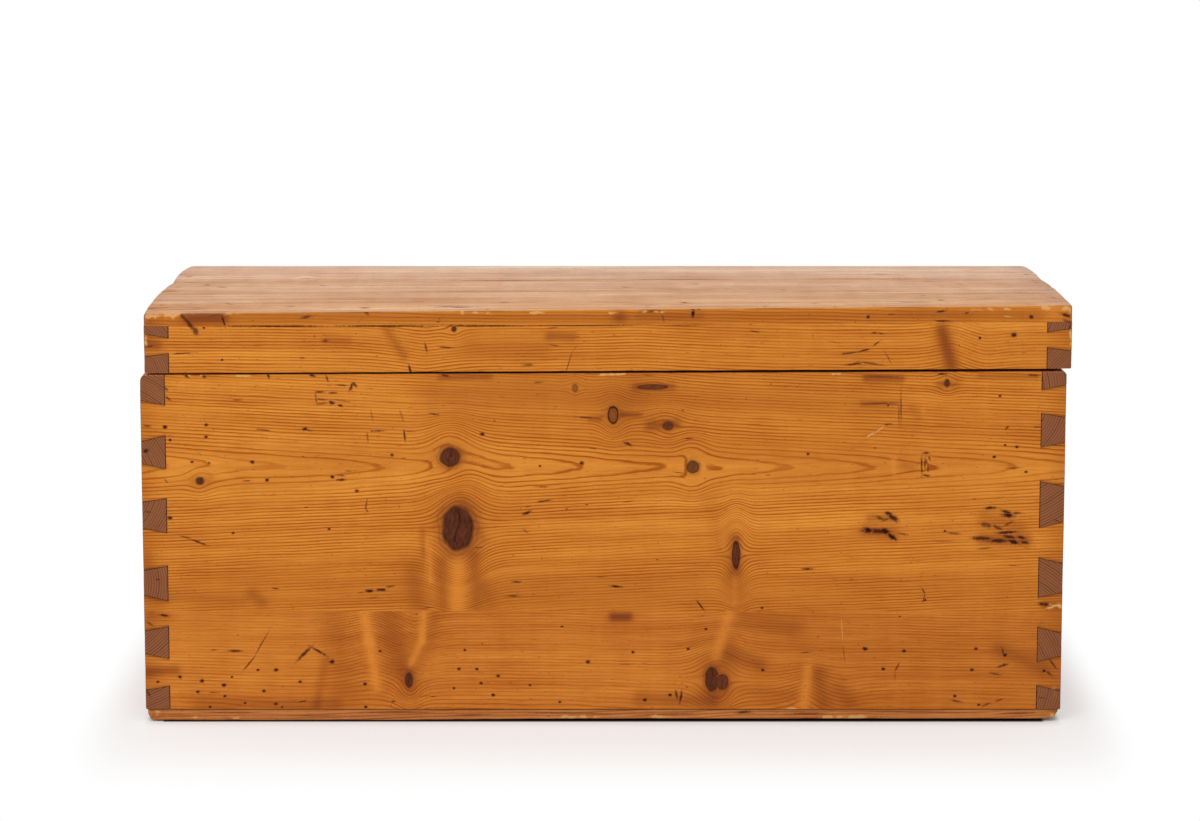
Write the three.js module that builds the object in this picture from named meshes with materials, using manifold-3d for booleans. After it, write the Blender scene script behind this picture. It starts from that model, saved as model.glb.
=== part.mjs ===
// A pine blanket chest: dovetailed walls on a thin nailed-on bottom, and a lid made as a
// shallow dovetailed frame with two crowned planks on top, hung on two butt hinges at the back.
// Millimetres, +Z up, +X along the length, the front faces -Y. The origin lies on the floor,
// at the centre of the walls' footprint.

import * as THREE from 'three';
import { mergeVertices } from 'three/addons/utils/BufferGeometryUtils.js';
import Module from 'manifold-3d';

const wasm = await Module();
wasm.setup();

// Walls and bottom
const chestLength = 960;
const chestDepth = 450;
const wallHeight = 356;
const wallThickness = 25;
const bottomThickness = 13;
const bottomSetback = 1.5;

// Lid
const lidFrameHeight = 49;
const lidShift = 4.8;
const seamGap = 2.3;
const frontPlankWidth = 270;
const topPlankThickness = 14.7;
const crownRise = 2.5;
const backEdgeDrop = 3.4;
const frontEdgeTaper = 8.9;

// Hinges
const hingeLength = 75;
const hingeInset = 180;
const leafReach = 24;
const leafThickness = 2.2;
const knuckleRadius = 4;
const knuckleCount = 5;
const hingePinRadius = 2;
const hingePinClearance = 0.1;
const hingePinHeadRadius = 3;
const hingePinHeadThickness = 1.5;

// Screws through the hinge leaves
const screwLength = 18;
const screwHeadRadius = 3.8;
const screwHeadHeight = 2.4;
const screwShankRadius = 1.9;
const screwSlotWidth = 1;
const screwSlotDepth = 0.8;
const screwSetback = 13;

// Nails through the top planks and the bottom planks
const nailLength = 42;
const nailHeadRadius = 2.6;
const nailHeadThickness = 1;
const nailShankRadius = 1.4;
const nailSink = 0.6;

// Fits: the gap left between neighbouring pieces, and how far a cutter runs past what it cuts
const jointGap = 0.3;
const cutOverrun = 3;

// Pins of each corner, from the top down. Each gives its lower and upper edge at the outer
// face of the end board, then at the inner face, as shares of the board's height.
const bodyLeftPinShares = [
  { outer: [0.923, 1], inner: [0.908, 1] },
  { outer: [0.734, 0.797], inner: [0.72, 0.815] },
  { outer: [0.543, 0.619], inner: [0.529, 0.629] },
  { outer: [0.344, 0.415], inner: [0.327, 0.428] },
  { outer: [0.169, 0.234], inner: [0.153, 0.248] },
  { outer: [0, 0.056], inner: [0, 0.069] },
];
const bodyRightPinShares = [
  { outer: [0.963, 1], inner: [0.95, 1] },
  { outer: [0.797, 0.869], inner: [0.784, 0.881] },
  { outer: [0.563, 0.665], inner: [0.544, 0.68] },
  { outer: [0.352, 0.436], inner: [0.337, 0.452] },
  { outer: [0.162, 0.227], inner: [0.145, 0.246] },
  { outer: [0, 0.054], inner: [0, 0.07] },
];
const lidLeftPinShares = [
  { outer: [0.838, 1], inner: [0.756, 1] },
  { outer: [0, 0.347], inner: [0, 0.411] },
];
const lidRightPinShares = [
  { outer: [0.87, 1], inner: [0.797, 1] },
  { outer: [0, 0.373], inner: [0, 0.446] },
];

// Where two boards are glued edge to edge, as shares of the wall's height
const frontGlueShare = 0.295;
const backGlueShare = 0.7;
const endGlueShare = 0.49;

// The bottom's planks from the front to the back, and how they share its width
const bottomPlankNames = ['front', 'middle', 'back'];
const bottomPlankShares = [0.35, 0.31, 0.34];

// Nails: across a plank at each end, and along the lid's front and back edges
const nailAcrossShares = [0.22, 0.78];
const nailAlongShares = [-0.13, 0.17];

// Facets round a hinge barrel, a screw and a nail, and across the crown of a top plank
const barrelSides = 16;
const screwSides = 12;
const nailSides = 8;
const crownSteps = 10;

// Heights and places that follow from the sizes
const wallBase = bottomThickness + jointGap;
const rimHeight = wallBase + wallHeight;
const lidBase = rimHeight + seamGap;
const plankBase = lidFrameHeight + jointGap;
const hingeAxisY = chestDepth / 2 + knuckleRadius + jointGap;
const hingeAxisZ = rimHeight + seamGap / 2;
const endCentreX = (chestLength - wallThickness) / 2;
const wallCentreY = (chestDepth - wallThickness) / 2;

const pine = new THREE.MeshStandardMaterial({ color: 0xc07830, roughness: 0.45, flatShading: true });
const pineEnds = new THREE.MeshStandardMaterial({ color: 0xa86a35, roughness: 0.5, flatShading: true });
const pineTop = new THREE.MeshStandardMaterial({ color: 0xcc8a4a, roughness: 0.4, flatShading: true });
const pineBottom = new THREE.MeshStandardMaterial({ color: 0xa66a38, roughness: 0.7, flatShading: true });
const iron = new THREE.MeshStandardMaterial({ color: 0x4a4038, roughness: 0.6, metalness: 0.8 });

// Solids and geometries

function solidOf(geometry) {
  geometry.deleteAttribute('normal');
  geometry.deleteAttribute('uv');
  const merged = mergeVertices(geometry);
  return new wasm.Manifold(new wasm.Mesh({
    numProp: 3,
    vertProperties: new Float32Array(merged.attributes.position.array),
    triVerts: new Uint32Array(merged.index.array),
  }));
}

function geometryOf(solid) {
  const mesh = solid.getMesh();
  const geometry = new THREE.BufferGeometry();
  geometry.setAttribute('position', new THREE.BufferAttribute(mesh.vertProperties, 3));
  geometry.setIndex(new THREE.BufferAttribute(mesh.triVerts, 1));
  geometry.computeVertexNormals();
  return geometry;
}

function block(low, high) {
  const size = high.map((value, axis) => value - low[axis]);
  const centre = high.map((value, axis) => (value + low[axis]) / 2);
  const geometry = new THREE.BoxGeometry(...size);
  geometry.translate(...centre);
  return solidOf(geometry);
}

function extruded(points, depth) {
  const shape = new THREE.Shape(points.map(([across, up]) => new THREE.Vector2(across, up)));
  return new THREE.ExtrudeGeometry(shape, { depth, bevelEnabled: false });
}

// An outline of (x, z) points carried along Y
function prismAlongY(points, fromY, toY) {
  const low = Math.min(fromY, toY);
  const high = Math.max(fromY, toY);
  const geometry = extruded(points, high - low);
  geometry.rotateX(Math.PI / 2);
  geometry.translate(0, high, 0);
  return solidOf(geometry);
}

// An outline of (y, z) points carried along X, centred on x = 0
function prismAlongX(points, length) {
  const geometry = extruded(points, length);
  const alongY = new THREE.Vector3(0, 1, 0);
  const alongZ = new THREE.Vector3(0, 0, 1);
  const alongX = new THREE.Vector3(1, 0, 0);
  geometry.applyMatrix4(new THREE.Matrix4().makeBasis(alongY, alongZ, alongX));
  geometry.translate(-length / 2, 0, 0);
  return solidOf(geometry);
}

// A profile of (radius, z) points turned about Z
function turned(profile, sides) {
  const points = profile.map(([radius, height]) => new THREE.Vector2(radius, height));
  const geometry = new THREE.LatheGeometry(points, sides);
  geometry.rotateX(Math.PI / 2);
  return solidOf(geometry);
}

function rodAlongX(radius, fromX, toX) {
  const geometry = new THREE.CylinderGeometry(radius, radius, toX - fromX, barrelSides);
  geometry.rotateZ(Math.PI / 2);
  geometry.translate((fromX + toX) / 2, 0, 0);
  return solidOf(geometry);
}

function named(name, solid, material) {
  const mesh = new THREE.Mesh(geometryOf(solid), material);
  mesh.name = name;
  return mesh;
}

// Dovetailed boards. sideX and sideY are -1 for left and front, 1 for right and back.

// The outline of a pin in the front view: narrow at the outer face, wide at the shoulder.
// grow widens it all round, and reach carries it out past the outer face.
function pinOutline(pin, sideX, height, grow, reach) {
  const faceX = sideX * chestLength / 2;
  const shoulderX = sideX * (chestLength / 2 - wallThickness - grow);
  const [outerLow, outerHigh] = [pin.outer[0] * height - grow, pin.outer[1] * height + grow];
  const [innerLow, innerHigh] = [pin.inner[0] * height - grow, pin.inner[1] * height + grow];
  const outside = [[faceX + sideX * reach, outerHigh], [faceX + sideX * reach, outerLow]];
  const corners = [[faceX, outerLow], [shoulderX, innerLow], [shoulderX, innerHigh], [faceX, outerHigh]];
  return reach > 0 ? [...outside, ...corners] : corners;
}

// A front or back board: its ends are tails, with a socket for each pin
function tailBoard(sideY, height, leftPins, rightPins) {
  const faceY = sideY * chestDepth / 2;
  const backY = sideY * (chestDepth / 2 - wallThickness);
  let board = block(
    [-chestLength / 2, Math.min(faceY, backY), 0],
    [chestLength / 2, Math.max(faceY, backY), height],
  );
  for (const [sideX, pins] of [[-1, leftPins], [1, rightPins]]) {
    for (const pin of pins) {
      const outline = pinOutline(pin, sideX, height, jointGap, cutOverrun);
      const socket = prismAlongY(outline, faceY + sideY * cutOverrun, backY - sideY * cutOverrun);
      board = board.subtract(socket);
    }
  }
  return board;
}

// An end board: a core between the front and the back, with pins at both of its ends
function pinBoard(sideX, height, frontPins, backPins) {
  const faceX = sideX * chestLength / 2;
  const innerX = sideX * (chestLength / 2 - wallThickness);
  const coreY = chestDepth / 2 - wallThickness - jointGap;
  let board = block(
    [Math.min(faceX, innerX), -coreY, 0],
    [Math.max(faceX, innerX), coreY, height],
  );
  for (const [sideY, pins] of [[-1, frontPins], [1, backPins]]) {
    for (const pin of pins) {
      const outline = pinOutline(pin, sideX, height, 0, 0);
      const rootY = sideY * (coreY - cutOverrun);
      board = board.add(prismAlongY(outline, sideY * chestDepth / 2, rootY));
    }
  }
  return board;
}

// The two boards that a wall is glued up from
function glueUp(wall, share) {
  const jointZ = share * wallHeight;
  const far = chestLength + chestDepth;
  const below = block([-far, -far, -far], [far, far, jointZ - jointGap / 2]);
  const above = block([-far, -far, jointZ + jointGap / 2], [far, far, wallHeight + far]);
  return { lower: wall.intersect(below), upper: wall.intersect(above) };
}

// Nails and screws, with their heads at z = 0 and their points down

function nailProfile(grow, headroom) {
  const tip = nailShankRadius * 2;
  return [
    [0, -nailLength - grow],
    [nailShankRadius + grow, -nailLength + tip - grow],
    [nailShankRadius + grow, -nailHeadThickness - grow],
    [nailHeadRadius + grow, -nailHeadThickness - grow],
    [nailHeadRadius + grow, headroom],
    [0, headroom],
  ];
}

function screwProfile(grow, headroom) {
  const tip = screwShankRadius * 2;
  const top = headroom > 0 ? [[screwHeadRadius + grow, headroom]] : [];
  return [
    [0, -screwLength - grow],
    [screwShankRadius + grow, -screwLength + tip - grow],
    [screwShankRadius + grow, -screwHeadHeight],
    [screwHeadRadius + grow, 0],
    ...top,
    [0, headroom],
  ];
}

function nail() {
  return turned(nailProfile(0, 0), nailSides);
}

function nailHole() {
  return turned(nailProfile(jointGap, nailSink + cutOverrun), nailSides);
}

function screw() {
  const slotHalf = screwSlotWidth / 2;
  const slot = block(
    [-screwHeadRadius - cutOverrun, -slotHalf, -screwSlotDepth],
    [screwHeadRadius + cutOverrun, slotHalf, cutOverrun],
  );
  return turned(screwProfile(0, 0), screwSides).subtract(slot);
}

function screwHole() {
  return turned(screwProfile(jointGap, cutOverrun), screwSides);
}

// Hinges, about a pin axis along X through their own origin. side is -1 for the leaf that
// is let into the rim and 1 for the leaf that is let into the lid.

const knucklePitch = hingeLength / knuckleCount;
const leafFace = seamGap / 2;
const screwSpots = [-1, 0, 1].map((step) => step * (hingeLength / 2 - knucklePitch * 0.75));

function knuckleSpan(index, widen) {
  const start = index * knucklePitch - hingeLength / 2;
  return [start + jointGap / 2 - widen, start + knucklePitch - jointGap / 2 + widen];
}

function isOwnKnuckle(index, side) {
  return (index % 2 === 0) === (side < 0);
}

// Turns what points down at the rim so that it points up into the lid
function towards(solid, side) {
  return side < 0 ? solid : solid.rotate([180, 0, 0]);
}

function hingeLeaf(side) {
  const nearZ = side * leafFace;
  const farZ = side * (leafFace + leafThickness);
  let leaf = block(
    [-hingeLength / 2 + jointGap / 2, -leafReach, Math.min(nearZ, farZ)],
    [hingeLength / 2 - jointGap / 2, 0, Math.max(nearZ, farZ)],
  );
  for (let index = 0; index < knuckleCount; index += 1) {
    if (isOwnKnuckle(index, side)) {
      leaf = leaf.add(rodAlongX(knuckleRadius, ...knuckleSpan(index, 0)));
    } else {
      leaf = leaf.subtract(rodAlongX(knuckleRadius + jointGap, ...knuckleSpan(index, jointGap)));
    }
  }
  const boreRadius = hingePinRadius + hingePinClearance;
  leaf = leaf.subtract(rodAlongX(boreRadius, -hingeLength, hingeLength));
  for (const spot of screwSpots) {
    leaf = leaf.subtract(towards(screwHole(), side).translate([spot, -screwSetback, nearZ]));
  }
  return leaf;
}

function hingePin() {
  const end = hingeLength / 2;
  const headEnd = end + jointGap + hingePinHeadThickness;
  const shank = rodAlongX(hingePinRadius, -headEnd, headEnd);
  const leftHead = rodAlongX(hingePinHeadRadius, -headEnd, -end - jointGap);
  const rightHead = rodAlongX(hingePinHeadRadius, end + jointGap, headEnd);
  return shank.add(leftHead).add(rightHead);
}

// What a hinge leaf and its screws take out of the board that carries them
function hingeRecess(side) {
  const nearZ = side * (leafFace - cutOverrun);
  const farZ = side * (leafFace + leafThickness + jointGap);
  let recess = block(
    [-hingeLength / 2 - jointGap, -leafReach - jointGap, Math.min(nearZ, farZ)],
    [hingeLength / 2 + jointGap, knuckleRadius, Math.max(nearZ, farZ)],
  );
  for (const spot of screwSpots) {
    const hole = towards(screwHole(), side).translate([spot, -screwSetback, side * leafFace]);
    recess = recess.add(hole);
  }
  return recess;
}

const hingeCentreX = chestLength / 2 - hingeInset;
const hingePlaces = [['left', -hingeCentreX], ['right', hingeCentreX]];

// Walls: the front shows the left and right pins, and the back carries them the other way round

function walls() {
  const group = new THREE.Group();
  group.position.z = wallBase;
  const front = glueUp(tailBoard(-1, wallHeight, bodyLeftPinShares, bodyRightPinShares), frontGlueShare);
  const back = glueUp(tailBoard(1, wallHeight, bodyRightPinShares, bodyLeftPinShares), backGlueShare);
  const left = glueUp(pinBoard(-1, wallHeight, bodyLeftPinShares, bodyRightPinShares), endGlueShare);
  const right = glueUp(pinBoard(1, wallHeight, bodyRightPinShares, bodyLeftPinShares), endGlueShare);
  for (const [, x] of hingePlaces) {
    const recess = hingeRecess(-1).translate([x, hingeAxisY, hingeAxisZ - wallBase]);
    back.upper = back.upper.subtract(recess);
  }
  for (const end of [left, right]) {
    for (const spot of bottomNailSpots()) {
      end.lower = end.lower.subtract(bottomNailHole().translate([spot.x, spot.y, -wallBase]));
    }
  }
  group.add(
    named('front_upper_board', front.upper, pine),
    named('front_lower_board', front.lower, pine),
    named('back_upper_board', back.upper, pine),
    named('back_lower_board', back.lower, pine),
    named('left_end_upper_board', left.upper, pineEnds),
    named('left_end_lower_board', left.lower, pineEnds),
    named('right_end_upper_board', right.upper, pineEnds),
    named('right_end_lower_board', right.lower, pineEnds),
  );
  return group;
}

// Bottom: planks under the walls, nailed up into the end boards

function bottomPlanks() {
  const fullWidth = chestDepth - 2 * bottomSetback;
  let startY = -fullWidth / 2;
  return bottomPlankNames.map((name, index) => {
    const low = startY + jointGap / 2;
    startY += bottomPlankShares[index] * fullWidth;
    return { name, low, high: startY - jointGap / 2 };
  });
}

function bottomNailSpots() {
  return bottomPlanks().flatMap((plank) => nailAcrossShares.flatMap((share) => {
    const y = plank.low + share * (plank.high - plank.low);
    return [{ x: -endCentreX, y }, { x: endCentreX, y }];
  }));
}

// A nail driven upwards, and its hole, with the head sunk into the underside at z = 0
function bottomNail() {
  return nail().rotate([180, 0, 0]).translate([0, 0, nailSink]);
}

function bottomNailHole() {
  return nailHole().rotate([180, 0, 0]).translate([0, 0, nailSink]);
}

function bottom() {
  const group = new THREE.Group();
  const reachX = chestLength / 2 - bottomSetback;
  for (const plank of bottomPlanks()) {
    let board = block([-reachX, plank.low, 0], [reachX, plank.high, bottomThickness]);
    for (const spot of bottomNailSpots()) {
      board = board.subtract(bottomNailHole().translate([spot.x, spot.y, 0]));
    }
    group.add(named(`bottom_${plank.name}_plank`, board, pineBottom));
  }
  bottomNailSpots().forEach((spot, index) => {
    const mesh = named(`bottom_nail_${index + 1}`, bottomNail(), iron);
    mesh.position.set(spot.x, spot.y, 0);
    group.add(mesh);
  });
  return group;
}

// Lid: a dovetailed frame with two crowned planks nailed down on it

const topPlanks = [
  { name: 'front', low: -chestDepth / 2, high: frontPlankWidth - chestDepth / 2 - jointGap / 2 },
  { name: 'back', low: frontPlankWidth - chestDepth / 2 + jointGap / 2, high: chestDepth / 2 },
];

// Height of the lid's top over the frame: a parabola across each plank, on a top that falls
// behind the joint towards its back edge, and that is thicker at the right of its front edge
function topHeight(plank, x, y) {
  const across = (y - plank.low) / (plank.high - plank.low);
  const crown = crownRise * (1 - (2 * across - 1) ** 2);
  const fall = plank === topPlanks[1] ? backEdgeDrop * across : 0;
  const towardsFront = 0.5 - y / chestDepth;
  const taper = frontEdgeTaper * towardsFront * x / chestLength;
  return topPlankThickness + crown - fall + taper;
}

function topPlank(plank) {
  const outline = [[plank.low, 0], [plank.high, 0]];
  for (let step = crownSteps; step >= 0; step -= 1) {
    const y = plank.low + (plank.high - plank.low) * step / crownSteps;
    outline.push([y, topHeight(plank, 0, y)]);
  }
  return prismAlongX(outline, chestLength)
    .warp((point) => {
      if (point[2] > 0) {
        point[2] = topHeight(plank, point[0], point[1]);
      }
    })
    .translate([0, 0, plankBase]);
}

function lidNailSpots() {
  const spots = topPlanks.flatMap((plank) => nailAcrossShares.flatMap((share) => {
    const y = plank.low + share * (plank.high - plank.low);
    return [{ plank, x: -endCentreX, y }, { plank, x: endCentreX, y }];
  }));
  for (const share of nailAlongShares) {
    spots.push({ plank: topPlanks[0], x: share * chestLength, y: -wallCentreY });
    spots.push({ plank: topPlanks[1], x: share * chestLength, y: wallCentreY });
  }
  return spots.map((spot) => {
    const surfaceZ = plankBase + topHeight(spot.plank, spot.x, spot.y);
    return { ...spot, z: surfaceZ - nailSink };
  });
}

function lid() {
  const group = new THREE.Group();
  group.position.set(lidShift, 0, lidBase);
  const boards = {
    lid_front_board: tailBoard(-1, lidFrameHeight, lidLeftPinShares, lidRightPinShares),
    lid_back_board: tailBoard(1, lidFrameHeight, lidRightPinShares, lidLeftPinShares),
    lid_left_end: pinBoard(-1, lidFrameHeight, lidLeftPinShares, lidRightPinShares),
    lid_right_end: pinBoard(1, lidFrameHeight, lidRightPinShares, lidLeftPinShares),
    lid_top_front_plank: topPlank(topPlanks[0]),
    lid_top_back_plank: topPlank(topPlanks[1]),
  };
  for (const [, x] of hingePlaces) {
    const recess = hingeRecess(1).translate([x - lidShift, hingeAxisY, hingeAxisZ - lidBase]);
    boards.lid_back_board = boards.lid_back_board.subtract(recess);
  }
  const spots = lidNailSpots();
  for (const [name, solid] of Object.entries(boards)) {
    const holes = spots.map((spot) => nailHole().translate([spot.x, spot.y, spot.z]));
    const board = holes.reduce((rest, hole) => rest.subtract(hole), solid);
    const material = name.startsWith('lid_top') ? pineTop : name.endsWith('end') ? pineEnds : pine;
    group.add(named(name, board, material));
  }
  spots.forEach((spot, index) => {
    const mesh = named(`lid_nail_${index + 1}`, nail(), iron);
    mesh.position.set(spot.x, spot.y, spot.z);
    group.add(mesh);
  });
  return group;
}

function hinge(name, x) {
  const group = new THREE.Group();
  group.position.set(x, hingeAxisY, hingeAxisZ);
  for (const [leafName, side] of [['fixed', -1], ['moving', 1]]) {
    group.add(named(`hinge_${name}_${leafName}_leaf`, hingeLeaf(side), iron));
    screwSpots.forEach((spot, index) => {
      const mesh = named(`hinge_${name}_${leafName}_screw_${index + 1}`, screw(), iron);
      mesh.position.set(spot, -screwSetback, side * leafFace);
      mesh.rotation.x = side < 0 ? 0 : Math.PI;
      group.add(mesh);
    });
  }
  group.add(named(`hinge_${name}_pin`, hingePin(), iron));
  return group;
}

const chest = new THREE.Group();
chest.add(walls(), bottom(), lid());
for (const [name, x] of hingePlaces) {
  chest.add(hinge(name, x));
}

export default chest;
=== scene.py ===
"""A dovetailed pine blanket chest: worn boards, ironwork and a plain studio.

Lengths are in metres. X runs along the chest, Y from its front to its back and Z up.
"""

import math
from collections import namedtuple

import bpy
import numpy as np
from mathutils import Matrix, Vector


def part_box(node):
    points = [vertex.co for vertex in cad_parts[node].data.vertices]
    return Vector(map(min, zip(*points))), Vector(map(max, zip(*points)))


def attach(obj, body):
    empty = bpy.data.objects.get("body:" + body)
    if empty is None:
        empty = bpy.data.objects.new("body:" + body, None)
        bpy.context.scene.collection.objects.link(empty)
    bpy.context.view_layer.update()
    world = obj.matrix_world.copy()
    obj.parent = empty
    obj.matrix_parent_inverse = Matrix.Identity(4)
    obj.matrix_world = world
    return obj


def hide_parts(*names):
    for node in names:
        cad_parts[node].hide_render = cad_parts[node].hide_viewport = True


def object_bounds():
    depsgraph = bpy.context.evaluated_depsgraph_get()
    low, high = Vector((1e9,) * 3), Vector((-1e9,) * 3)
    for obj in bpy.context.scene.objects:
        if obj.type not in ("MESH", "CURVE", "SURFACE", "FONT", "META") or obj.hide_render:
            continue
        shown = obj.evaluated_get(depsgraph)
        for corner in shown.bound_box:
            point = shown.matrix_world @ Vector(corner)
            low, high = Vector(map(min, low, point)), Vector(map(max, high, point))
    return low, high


bl_info = {
    "name": "Dovetailed pine blanket chest",
    "version": (1, 0, 0),
    "blender": (4, 5, 0),
    "location": "View3D > Sidebar > Blanket chest",
    "description": "Builds the worn boards, the ironwork and the studio of a pine blanket chest",
    "category": "Add Mesh",
}

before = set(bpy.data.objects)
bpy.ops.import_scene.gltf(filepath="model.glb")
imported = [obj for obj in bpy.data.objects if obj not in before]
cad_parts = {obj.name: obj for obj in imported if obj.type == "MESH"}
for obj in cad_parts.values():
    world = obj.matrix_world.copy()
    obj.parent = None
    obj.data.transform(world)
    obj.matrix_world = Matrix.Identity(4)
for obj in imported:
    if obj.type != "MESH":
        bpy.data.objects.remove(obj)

cad_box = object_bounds()
MM = 0.001
X, Y, Z = 0, 1, 2

# The boards of each wall
LEFT_END = ("left_end_upper_board", "left_end_lower_board")
RIGHT_END = ("right_end_upper_board", "right_end_lower_board")
FRONT_WALL = ("front_upper_board", "front_lower_board")
BACK_WALL = ("back_upper_board", "back_lower_board")
BOTTOM = ("bottom_front_plank", "bottom_middle_plank", "bottom_back_plank")
LID_TOP = ("lid_top_front_plank", "lid_top_back_plank")
LID_FRAME = ("lid_front_board", "lid_back_board", "lid_left_end", "lid_right_end")
LEAVES = ("hinge_left_fixed_leaf", "hinge_right_fixed_leaf")
LID_NAILS = tuple(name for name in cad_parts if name.startswith("lid_nail"))
BOTTOM_NAILS = tuple(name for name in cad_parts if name.startswith("bottom_nail"))

# The photograph and its camera, fitted on the chest's edges
PHOTO_WIDTH = 1200
PHOTO_HEIGHT = 821
FOCAL_PIXELS = 3661
SENSOR_WIDTH = 36.0
CAMERA_PLACE = np.array((-3.3, -3979.0, 889.4)) * MM
CAMERA_PITCH = math.radians(8.47)

# Grid lines of the boards
STEP = 3.6 * MM
WIDE_STEP = 4.5 * MM
GOUGE_STEP = 1.5 * MM
CLOSEST_LINES = 0.08 * MM
WORN_EDGE_LINES = np.array((0, 0.5, 1.1, 1.9, 2.9, 4.2, 5.8, 7.8)) * MM
SMALL_PLACE_LINES = np.arange(-3, 4) * MM
LAYER_LINES = np.array((0, 0.35, 0.9, 1.8, 3.2, 5.5, 9)) * MM

# Stretches along and up the front where its gouges need finer grid lines
GOUGED_ALONG = ((0.262, 0.310), (0.375, 0.446))
GOUGED_UP = ((0.196, 0.236),)

# Small measures that tell places and directions apart
ANCHOR = 3 * MM
CLOSE = 0.05 * MM
LEDGE = 1 * MM
TINY = MM * MM
FACING = 0.5

# Wear of the arrises, and dirt with painted shade in the joints
EASED_EDGE = 0.35 * MM
WEAR_REACH = 9 * MM
WEAR_SHOWS = 0.6
CHIP_SPACING = 28 * MM
CHIP_START = 0.45
QUICK_CHIP_SHARE = 0.7
WEAR_WANDER_SHARE = 0.3
SHARP_ANGLE = math.radians(32)
FACE_SOILING_AND_SHADE = 0.6
RIM_SOILING_AND_SHADE = 0.25
TOP_SOILING_AND_SHADE = (0, 0.5)
BOTTOM_SOILING_AND_SHADE = (0.05, 0.6)

# Unevenness of a board's faces: the size and the depth of each of its two waves
UNEVENNESS = ((150 * MM, 0.09 * MM), (45 * MM, 0.04 * MM))

# The joints, the hinges' recesses and the hollows over the nails, as they show
SEAM = 0.3 * MM
SHOULDER_GAP = 0.7 * MM
STEP_AT_JOINT = 0.25 * MM
TAIL_REACH = 12 * MM
TAIL_NOISE = (1.0, 1.0, 26 * MM)
GLUE_CLOSING = 0.13 * MM
RECESS_MARGIN = 0.35 * MM
RECESS_DEPTH = 2.5 * MM
RECESS_SQUEEZE = 12 * MM
DIMPLE_RADIUS = 2.9 * MM
DIMPLE_DEPTH = 1.0 * MM
DIMPLE_RIM_SHARES = (0.75, 1.25)

# The hollow under the front of the foot, which is lower at its left end
FOOT_LIFT = 2.8 * MM
FOOT_HOLLOW = 40 * MM
FOOT_LEFT_SHARE = 0.4
FOOT_RISE_START = -0.25

# How far the front of the lid and rim lean up towards the right
RIM_LEAN = 1.85 * MM
LID_FOOT_LEAN = 2.5 * MM
LID_JOINT_LEAN = 2.1 * MM
RIM_LEAN_START = 40 * MM
LEAN_FADE_Y = 0.15

# The top of the lid, as its planks were planed
CROWN_RISE = 2.5 * MM
BACK_EDGE_DROP = 3.4 * MM
FRONT_EDGE_TAPER = 8.9 * MM
TOP_PLANK_THICKNESS = 14.7 * MM
END_BULGE = 1.8 * MM
END_BULGE_POWER = 9

# Half the width and half the depth of the floor that keeps all of its shadow, how much faster the
# shadow fades at the sides, how far beyond that part the plain white sets in, and the floor's
# roughness and specular level
FLOOR_SHADE = (0.475, 0.222)
FLOOR_SQUEEZE = 4.0
CLOSE_GLOW = (0.0, 0.03)
FAR_GLOW = (0.08, 0.32)
FLOOR_ROUGHNESS = 0.9
FLOOR_SHINE = 0.1

# White light, and the lamps: place, target and size
WHITE = (1.0, 1.0, 1.0, 1.0)
KEY_LAMP = ((-0.5, -2.6, 3.0), (0.0, 0.0, 0.15), 2.6)
SIDE_LAMP = ((-3.0, -0.9, 1.6), (0.0, 0.0, 0.2), 1.8)

# Half the width and half the depth of the painted shadow that darkens the floor's colour in the
# narrow gap under the foot, its soft edge and the share of the floor's colour that it keeps
PAINTED_GAP_SHADOW = (0.46, 0.223)
PAINTED_GAP_SHADOW_SOFTNESS = 4 * MM
PAINTED_GAP_SHADOW_LIGHT_SHARE = 0.06

# Numbers along each side of the noise's lattice
LATTICE = 24

# How marks and knots are looked up: a place out of reach of any, how deep under its face and how
# far beyond its edge one is looked for, how far a knot's surrounds reach and the step of its seed
FAR = 9.0
FACE_REACH = 14 * MM
NEAR_SPOT = 1.7
KNOT_SURROUND = 2
KNOT_SEED_STEP = 3.7
KNOT_PARTING = 0.95

# The rings' slow and quick wander
WANDER_SIZES = (170 * MM, 45 * MM)
QUICK_WANDER_SHARE = 0.3

# Darker zones along the ends, the rim and the foot: how dark, and how far they reach
ZONES = ((0.26, 30 * MM), (0.14, 9 * MM), (0.12, 40 * MM))

# A board's timber: distance of the tree's heart behind the face and its place across the face in
# millimetres, how far the rings climb along the board, their spacing and how much they wander in
# millimetres, and a seed
Timber = namedtuple("Timber", "depth across climb spacing wander seed")
TIMBER_ROWS = {
    "front_upper_board": (19, 271, 0.043, 3.1, 1.3, 3),
    "front_lower_board": (60, -20, 0.012, 2.7, 2.4, 5),
    "back_upper_board": (26, 300, -0.05, 3.2, 1.8, 7),
    "back_lower_board": (34, 90, 0.04, 3.1, 2, 9),
    "left_end_upper_board": (-48, 252, 0.05, 2.6, 1.5, 11),
    "left_end_lower_board": (-44, 148, -0.04, 2.7, 1.5, 13),
    "right_end_upper_board": (85, 350, 0.05, 2.8, 1.5, 15),
    "right_end_lower_board": (90, 44, 0.03, 2.7, 1.5, 17),
    "lid_front_board": (40, 290, 0.01, 3.05, 1.2, 19),
    "lid_back_board": (60, 470, 0.02, 3.1, 2, 21),
    "lid_left_end": (-46, 350, 0.03, 2.4, 1, 23),
    "lid_right_end": (70, 440, 0.03, 2.5, 1, 25),
    "lid_top_front_plank": (75, -190, 0.012, 3, 1.6, 27),
    "lid_top_back_plank": (60, 170, -0.02, 3.2, 2, 29),
    "bottom_front_plank": (50, -200, 0.02, 3, 2, 31),
    "bottom_middle_plank": (70, 0, -0.03, 3.6, 2, 33),
    "bottom_back_plank": (60, 150, 0.04, 3.5, 2, 35),
}
TIMBERS = {
    name: Timber(depth * MM, across * MM, climb, spacing * MM, wander * MM, seed)
    for name, (depth, across, climb, spacing, wander, seed) in TIMBER_ROWS.items()
}

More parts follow.
